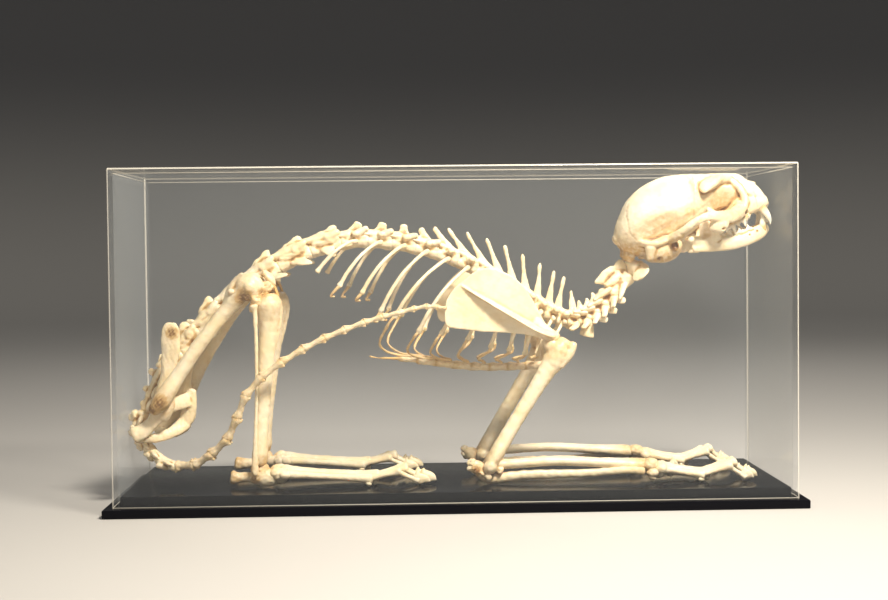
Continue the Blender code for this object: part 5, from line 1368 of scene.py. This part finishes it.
BREAST_LINKS = 9
breast_line = [(-50.0, 83.6), (-36.0, 83.2), (-25.0, 82.4), (-9.0, 80.4), (3.5, 78.6), (16.0, 77.6),
               (30.0, 77.5), (44.0, 77.9), (56.0, 79.0), (64.0, 82.0)]
breast = curve_points([(x, BODY_Y, z) for x, z in breast_line], 4)
breast_long = sum((b - a).length for a, b in zip(breast, breast[1:]))
breast_link = skin(tube([(-5.2, 0, 0, 2.9, 2.8), (-4.0, 0, 0, 3.4, 3.0), (0, 0, 0, 2.2, 2.4),
                         (4.0, 0, 0, 3.2, 2.9), (5.2, 0, 0, 2.9, 2.8)]),
                   *SMALL_SKIN, 0.3, 91)
breast_link["stain_and_shade"] = 0.3 + 0.6 * np.clip(np.abs(breast_link["co"][:, 0]) / 5.2, 0, 1) ** 4
spots = []
for n in range(BREAST_LINKS):
    middle = breast_long * (0.16 + 0.84 * (n + 0.5) / BREAST_LINKS)
    a, b = along(breast, middle - 3), along(breast, middle + 3)
    thin = 0.62 if n == 0 else 0.86
    spots.append(((a + b) / 2, b - a, (0, 0, 1), (breast_long * 0.84 / BREAST_LINKS / 10.4, thin, thin)))
dress("breast_bones", repeated("breast_bones", breast_link, spots, BONE_FINISH), ("sternum",), None)
strip = [along(breast, breast_long * f) for f in (0.0, 0.05, 0.1, 0.2, 0.5, 0.8, 0.98)]
rows = [(*spot, size, size * 0.8) for spot, size in zip(strip, (0.5, 0.7, 1.0, 1.3, 1.5, 1.5, 1.2))]
rows[0] = (rows[0][0], rows[0][1], rows[0][2] + 1.0, 0.5, 0.5)
piece("breast_gristle", [skin(tube(rows), *THIN_SKIN, 0.12, 92, gristle=0.8)])


# Shoulder blades: a thin plate with its spine, neck and socket
def blade_bone(side):
    outward = OUTWARD[side]
    shift_x, shift_z = (0, 0) if side == "right" else SHOULDER_SHIFT
    plate, shapes = scapula(outward, shift_x, shift_z)
    plate = fine_rows([(*p, 1, 1) for p in plate[-1:] + plate], 5)[5:, :3]
    verts = [p + np.array((0, way * BLADE_THICK * 0.5, 0)) for way in (-1, 1) for p in plate]
    count = len(plate)
    faces = [list(range(count)), list(range(2 * count - 1, count - 1, -1))]
    faces += [[(k + 1) % count, k, k + count, (k + 1) % count + count] for k in range(count)]
    bone = skin(shapes, *BLADE_SKIN, 0.06, 95, sheets=[(np.array(verts), faces)])
    bone["hollow"] *= 0.35
    return bone


for side in ("right", "left"):
    piece("shoulder_blade_" + side, [blade_bone(side)], "scapula_" + side)

# Pelvis
piece("hip_bone", [skin(pelvis(), *PELVIS_SKIN, 0.14, 99)], "pelvis")


# Limbs
def toe_bones(joints, thick, seed):
    shapes, claw = toe(joints, thick)
    bones = [skin([shape], *TOE_SKIN, 0.1, seed + n) for n, shape in enumerate(shapes)]
    return bones + [skin(claw, *CLAW_SKIN)]


def cobbles(spots, seed):
    """Small wrist or ankle bones, from x, y, z and half size."""
    return [skin(bead((x, y, z), size * 1.1, size, size * 0.9, rings=5), *SMALL_SKIN, 0.22, seed + n)
            for n, (x, y, z, size) in enumerate(spots)]


def fine_forepaw(side):
    wx, wy, wz = WRISTS[side]
    outward = OUTWARD[side]
    low = FLOOR + GAP
    reach = FORE_REACH[side]
    bones = cobbles([(wx + 3.4, wy - 2.6, wz + 0.8, 4.1), (wx + 3.2, wy + 2.8, wz + 0.4, 3.9),
                     (wx + 4.0, wy + 5.2 * outward, low + 5.6, 3.2), (wx + 4.4, wy, low + 5.2, 3.6),
                     (wx + 9.0, wy - 5.2, low + 7.8, 3.0), (wx + 9.4, wy - 1.8, low + 9.0, 3.4),
                     (wx + 9.4, wy + 1.9, low + 8.8, 3.4), (wx + 9.0, wy + 5.2, low + 7.6, 3.0),
                     (wx + 8.6, wy, low + 4.4, 3.0)], 110)
    hook = tube([(wx + 4, wy + 4 * outward, low + 5.8, 2.2, 2.4),
                 (wx + 3.4, wy + 5.2 * outward, low + 2.4, 2.5, 2.2)], side=(1, 0, 0))
    bones.append(skin(hook, *SMALL_SKIN, 0.18, 120))
    start = wx + 10.5
    for n, (spread, far, wide) in enumerate(((-6.0, -3.0, 3.1), (-2.2, 0.0, 3.3), (2.2, 0.0, 3.3),
                                             (6.0, -3.4, 3.1))):
        y0, y1, y2 = (wy + spread * k * outward for k in (0.72, 1.02, 1.42))
        knuckle = wx + reach * 0.54 + far
        high = 1.3 if abs(spread) < 4 else 0.0
        bones += toe_bones([(start, y0, low + 7.6 + high), (knuckle, y1, low + 4.2 + 0.5 * high),
                            (wx + reach * 0.79 + far, y2, low + 9.2 + high),
                            (wx + reach * 0.92 + far, y2, low + 3.6),
                            (wx + reach + 1.0 + far, y2, low + 2.4)],
                           wide, 130 + 5 * n)
        bones += cobbles([(knuckle + 0.5, y1 - 1.3, low + 1.8, 1.5),
                          (knuckle + 0.5, y1 + 1.3, low + 1.8, 1.5)], 155)
    y = wy - 7.0 * outward
    bones += toe_bones([(start - 2.5, y, low + 4.2), (start + 5.5, y - 1.6 * outward, low + 3.0),
                        (start + 13.5, y - 2.2 * outward, low + 2.6),
                        (start + 18.0, y - 2.2 * outward, low + 2.0)],
                       2.2, 160)
    return bones


def fine_hindfoot(side):
    hx, hy, hz = HEELS[side]
    ax, ay, az = SHINS[side][1]
    outward = OUTWARD[side]
    low = FLOOR + GAP
    reach = HIND_REACH[side]
    heel = tube([(hx + 0.4, hy, hz - 0.8, 3.2, 4.2), (hx + 3.0, hy, hz - 1.0, 3.4, 3.6),
                 (hx + 8.4, hy, hz - 0.8, 2.7, 3.0), (ax + 2.0, ay + 2.6 * outward, low + 5.4, 4.2, 5.0),
                 (ax + 8.0, ay + 2.8 * outward, low + 5.2, 4.2, 4.6)])
    ankle = bead((ax, ay - 0.8 * outward, az - 3.8), 5.0, 5.6, 4.6, along=(0, 1, 0), side=(1, 0, 0),
                 rings=5)
    ankle += tube([(ax + 2.0, ay - 2.0 * outward, low + 7.4, 3.4, 3.2),
                   (ax + 7.4, ay - 2.6 * outward, low + 7.0, 3.4, 3.4)])
    bones = [skin(heel, *ANKLE_SKIN, 0.2, 170), skin(ankle, *ANKLE_SKIN, 0.15, 171)]
    bones += cobbles([(ax + 10.6, ay - 4.0, low + 7.6, 4.2), (ax + 11.0, ay + 0.4, low + 9.2, 4.4),
                      (ax + 10.6, ay + 4.4, low + 7.2, 4.3), (ax + 14.4, ay - 5.4, low + 7.4, 3.4),
                      (ax + 14.6, ay - 1.9, low + 9.2, 3.8), (ax + 14.6, ay + 1.9, low + 9.0, 3.8),
                      (ax + 14.4, ay + 5.4, low + 7.2, 3.4), (ax + 12.0, ay, low + 4.4, 3.6)], 172)
    start = ax + 15.5
    for n, (spread, far, wide) in enumerate(((-6.2, -3.0, 3.2), (-2.1, 0.0, 3.5), (2.1, 0.0, 3.5),
                                             (6.2, -3.6, 3.2))):
        y0, y1, y2 = (ay + spread * k * outward for k in (0.74, 0.98, 1.3))
        knuckle = hx + reach * 0.695 + far
        high = 1.8 if abs(spread) < 4 else 0.0
        bones += toe_bones([(start, y0, low + 7.4 + high), (knuckle, y1, low + 4.4 + 0.6 * high),
                            (hx + reach * 0.84 + far, y2, low + 8.4 + 0.5 * high),
                            (hx + reach * 0.93 + far, y2, low + 3.8), (hx + reach + far, y2, low + 2.6)],
                           wide, 180 + 5 * n)
        bones += cobbles([(knuckle + 0.5, y1 - 1.4, low + 1.8, 1.6),
                          (knuckle + 0.5, y1 + 1.4, low + 1.8, 1.6)], 196)
    return bones


def long_bone(name, node, side, shapes, ends, front, length, seed):
    shapes = limb(shapes, *ends, front, OUTWARD[side], length)
    piece(name + "_" + side, [skin(shapes, *LIMB_SKIN, 0.1, seed)], node + "_" + side)


def gristle_strap(points, wide, thin, seed):
    rows = [(*spot, wide, thin) for spot in points]
    return skin(tube(rows), *THIN_SKIN, 0.15, seed, gristle=0.85)


for side, outward in OUTWARD.items():
    long_bone("thigh_bone", "femur", side, femur(), HIPS[side], (-1, 0, 1), FEMUR_LONG, 201)
    long_bone("shin_bone", "tibia", side, tibia(), SHINS[side], (1, 0, 0), TIBIA_LONG, 202)
    (tx, ty, tz), (bx, by, bz) = SHINS[side]
    thin = tube([(tx - 7.6, ty + 7.6 * outward, tz - 2.0, 1.9, 2.6),
                 (tx - 7.0, ty + 7.2 * outward, tz - 7.0, 1.3, 1.5),
                 (mix(tx, bx, 0.3) - 4.8, mix(ty, by, 0.3) + 6.2 * outward, mix(tz, bz, 0.3), 1.0, 1.1),
                 (mix(tx, bx, 0.6) - 3.4, mix(ty, by, 0.6) + 4.8 * outward, mix(tz, bz, 0.6), 0.9, 1.0),
                 (mix(tx, bx, 0.9) - 2.6, mix(ty, by, 0.9) + 5.0 * outward, mix(tz, bz, 0.9), 1.1, 1.4),
                 (bx - 2.0, by + 6.8 * outward, bz - 2.0, 1.4, 2.2),
                 (bx - 2.0, by + 7.2 * outward, bz - 6.0, 1.2, 1.6)])
    piece("calf_bone_" + side, [skin(thin, *CALF_SKIN, 0.08, 203)], "fibula_" + side)
    kx, ky, kz = HIPS[side][1]
    cap = bead((kx + 12.6, ky, kz + 3.6), 5.6, 3.6, 2.4, along=(0.62, 0, -0.78), rings=6)
    piece("kneecap_" + side, [skin(cap, *KNEECAP_SKIN, 0.15, 204)], "patella_" + side)
    beads = cobbles([(kx - 8.4, ky - 4.6, kz - 4.0, 2.0), (kx - 8.0, ky + 4.6, kz - 4.4, 1.9)], 205)
    strap = gristle_strap([(kx + 14.2, ky, kz + 0.6), (kx + 17.0, ky, kz - 5.0),
                           (kx + 18.6, ky, kz - 14.0)],
                          2.6, 0.9, 207)
    pads = []
    for dx, dy, dz, long, thick, tall, dry in KNEE_PADS:
        pad = bead((kx + dx, ky + dy * outward, kz + dz), long, thick, tall, rings=6)
        pads.append(skin(pad, *PAD_SKIN, 0.55, 208 + dx, gristle=dry))
    piece("knee_gristle_" + side, beads + pads + [strap])
    piece("foot_bones_" + side, fine_hindfoot(side), "hindfoot_" + side)
    long_bone("arm_bone", "humerus", side, humerus(), ARMS[side], (1, 0, 0), HUMERUS_LONG, 209)
    radius, ulna = forearm(ARMS[side][1], WRISTS[side], outward)
    piece("radius_bone_" + side, [skin(radius, *FOREARM_SKIN, 0.08, 210)], "radius_" + side)
    ex, ey, ez = ARMS[side][1]
    knobs = []
    for k, (dx, dy, dz, size) in enumerate(ELBOW_KNOBS):
        knob = bead((ex + dx, ey + dy * outward, ez + dz), size, size, size * 0.9, rings=5)
        knobs.append(skin(knob, *SMALL_SKIN, 0.5, 215 + k))
    piece("ulna_bone_" + side, [skin(ulna, *FOREARM_SKIN, 0.14, 211)] + knobs, "ulna_" + side)
    piece("paw_bones_" + side, fine_forepaw(side), "forepaw_" + side)


# Case: a clear cover with a painted highlight on its edges, on a black plate with a raised black floor

def slab(name, low, high, bevel):
    bm = bmesh.new()
    bmesh.ops.create_cube(bm, size=1.0)
    for v in bm.verts:
        v.co = Vector([(lo + hi) / 2 + (hi - lo) * c for lo, hi, c in zip(low, high, v.co)]) * MM
    bmesh.ops.bevel(bm, geom=bm.edges[:], offset=bevel * MM, segments=3, profile=0.6, affect="EDGES")
    mesh = bpy.data.meshes.new(name)
    bm.to_mesh(mesh)
    bm.free()
    mesh.shade_smooth()
    mesh.set_sharp_from_angle(angle=SHARP_ANGLE)
    return mesh


half_x, half_y = COVER_LONG / 2, COVER_DEEP / 2
lip_x, lip_y = half_x + BASE_LIP, half_y + BASE_LIP
top = BASE_THICK + COVER_TALL


def cover():
    """One clear box, open below: rounded outside, with a plain hollow; its rounded edges and the foot of
    its walls get a painted highlight.
    """
    bm = bmesh.new()
    bmesh.ops.create_cube(bm, size=1.0)
    for v in bm.verts:
        v.co = Vector((v.co.x * COVER_LONG, v.co.y * COVER_DEEP, BASE_THICK + COVER_TALL * (v.co.z + 0.5)))
    bmesh.ops.delete(bm, geom=[f for f in bm.faces if f.normal.z < -0.9], context="FACES")
    bmesh.ops.bevel(bm, geom=[e for e in bm.edges if not e.is_boundary], offset=0.9, segments=3,
                    profile=0.5, affect="EDGES")
    outer = list(bm.faces)
    highlit_edges = [f for f in outer if max(abs(c) for c in f.normal) < 0.99]
    hollow = bmesh.ops.create_cube(bm, size=1.0)["verts"]
    for v in hollow:
        v.co = Vector((v.co.x * (COVER_LONG - 2 * WALL), v.co.y * (COVER_DEEP - 2 * WALL),
                       BASE_THICK + (COVER_TALL - WALL) * (v.co.z + 0.5)))
    inner = [f for f in bm.faces if f not in set(outer)]
    floor_face = [f for f in inner if f.normal.z < -0.9]
    bmesh.ops.delete(bm, geom=floor_face, context="FACES_ONLY")
    bmesh.ops.reverse_faces(bm, faces=[f for f in bm.faces if f in set(inner)])
    rim = [e for e in bm.edges if e.is_boundary]
    made = bmesh.ops.bridge_loops(bm, edges=rim)["faces"]
    highlit_edges += made
    bright = set(highlit_edges)
    for f in bm.faces:
        f.material_index = 1 if f in bright else 0
    mesh = bpy.data.meshes.new("clear_cover")
    bmesh.ops.recalc_face_normals(bm, faces=bm.faces)
    bm.transform(Matrix.Scale(MM, 4))
    bm.to_mesh(mesh)
    bm.free()
    mesh.shade_smooth()
    mesh.set_sharp_from_angle(angle=SHARP_ANGLE)
    mesh.materials.append(CLEAR_FINISH)
    mesh.materials.append(EDGE_HIGHLIGHT_FINISH)
    return mesh


LINE_THICK = 0.28


def glue_lines():
    """Thin pale lines: glue where the sheets of the cover meet at its top, and painted highlights along the
    foot of the cover and the edges of the base.
    """
    in_x, in_y, high = half_x - WALL + 0.1, half_y - WALL + 0.1, top - WALL + 0.1
    runs = [((-in_x, y, high), (in_x, y, high)) for y in (-in_y, in_y)]
    runs += [((x, -in_y, high), (x, in_y, high)) for x in (-in_x, in_x)]
    for out_x, out_y, z in ((half_x - 0.35, half_y - 0.35, BASE_THICK + 0.4),
                            (lip_x - 0.55, lip_y - 0.55, BASE_THICK - 0.5),
                            (lip_x - 0.55, lip_y - 0.55, 0.5)):
        runs += [((-out_x, y, z), (out_x, y, z)) for y in (-out_y, out_y)]
        runs += [((x, -out_y, z), (x, out_y, z)) for x in (-out_x, out_x)]
    verts, faces = [], []
    for a, b in runs:
        a, b = Vector(a), Vector(b)
        way = (b - a).normalized()
        across = way.orthogonal().normalized()
        over = way.cross(across)
        start = len(verts)
        for end in (a, b):
            verts += [(end + (across * math.cos(t) + over * math.sin(t)) * LINE_THICK) * MM
                      for t in (k * math.pi / 3 for k in range(6))]
        faces += [(start + k, start + (k + 1) % 6, start + 6 + (k + 1) % 6, start + 6 + k)
                  for k in range(6)]
        faces += [tuple(range(start + 5, start - 1, -1)), tuple(range(start + 6, start + 12))]
    mesh = bpy.data.meshes.new("glue_lines")
    mesh.from_pydata(verts, [], faces)
    mesh.shade_smooth()
    return mesh


dress("clear_cover", cover(), ["case_" + name for name in ("front", "back", "left", "right", "top")], None)
dress("glue_lines", glue_lines(), (), EDGE_HIGHLIGHT_FINISH)

dress("black_plate", slab("black_plate", (-lip_x, -lip_y, 0), (lip_x, lip_y, BASE_THICK), 0.9),
      ["base_plate"], BLACK_FINISH)
in_x, in_y = half_x - WALL - RISER_INSET, half_y - WALL - RISER_INSET
dress("black_floor", slab("black_floor", (-in_x, -in_y, BASE_THICK), (in_x, in_y, FLOOR), 0.6),
      ["riser"], BLACK_FINISH)


# Studio

FLOOR_REACH = 2.4
FLOOR_CURVE = 1.2
FLOOR_SIDES = 64
PALE_FLOOR = (0.55, 0.53, 0.50, 1)
GREY_WALL = (0.16, 0.16, 0.165, 1)


def studio():
    """A round pale floor that curves up into a backdrop, greyer with height."""
    mat, nodes, links = start_material("pale_floor")
    shader = nodes["Principled BSDF"]
    height = nodes.new("ShaderNodeSeparateXYZ")
    links.new(nodes.new("ShaderNodeTexCoord").outputs["Object"], height.inputs[0])
    links.new(blend(nodes, links, ramp(nodes, links, height.outputs[2], 0.0, 0.7), PALE_FLOOR, GREY_WALL),
              shader.inputs["Base Color"])
    shader.inputs["Roughness"].default_value = 0.75
    bm = bmesh.new()
    rings = [(0.0, 0.0)] + [(FLOOR_REACH * f, 0.0) for f in (0.25, 0.5, 0.75, 1.0)]
    rings += [(FLOOR_REACH + FLOOR_CURVE * math.sin(a), FLOOR_CURVE - FLOOR_CURVE * math.cos(a))
              for a in np.linspace(0.15, 1.4, 10)]
    turns = [2 * math.pi * k / FLOOR_SIDES for k in range(FLOOR_SIDES)]
    loops = [[bm.verts.new((r * math.cos(t), r * math.sin(t), z)) for t in turns] for r, z in rings[1:]]
    hub = bm.verts.new((0, 0, 0))
    for k in range(FLOOR_SIDES):
        j = (k + 1) % FLOOR_SIDES
        bm.faces.new((hub, loops[0][k], loops[0][j]))
        for inner, outer in zip(loops, loops[1:]):
            bm.faces.new((inner[k], outer[k], outer[j], inner[j]))
    mesh = bpy.data.meshes.new("floor")
    bm.to_mesh(mesh)
    bm.free()
    mesh.shade_smooth()
    mesh.materials.append(mat)
    floor = bpy.data.objects.new("floor", mesh)
    bpy.context.scene.collection.objects.link(floor)


def softbox(name, spot, aim, size, watts, colour):
    data = bpy.data.lights.new(name, "AREA")
    data.shape = "RECTANGLE"
    data.size, data.size_y = size
    data.energy = watts
    data.color = colour
    lamp = bpy.data.objects.new(name, data)
    bpy.context.scene.collection.objects.link(lamp)
    way = Vector(aim) - Vector(spot)
    lamp.matrix_world = Matrix.Translation(spot) @ way.to_track_quat("-Z", "Y").to_matrix().to_4x4()


studio()
# Lamps: place, aim, size, watts and colour
for lamp in (("key", (0.22, -0.44, 0.66), (0.05, 0, 0.10), (0.18, 0.12), 11.0, (1.0, 0.93, 0.82)),
             ("fill", (-0.7, -1.2, 0.5), (-0.05, 0, 0.08), (1.2, 0.9), 2.2, (1.0, 0.93, 0.84)),
             ("back", (0.2, 0.9, 0.9), (0, 0, 0.1), (0.9, 0.4), 2.0, (1.0, 0.96, 0.9))):
    softbox(*lamp)
world = bpy.data.worlds.new("soft_sky")
world.use_nodes = True
world.node_tree.nodes["Background"].inputs["Color"].default_value = (0.90, 0.88, 0.84, 1)
world.node_tree.nodes["Background"].inputs["Strength"].default_value = 0.22
bpy.context.scene.world = world
bpy.context.scene.view_settings.view_transform = "Standard"

bpy.context.view_layer.update()
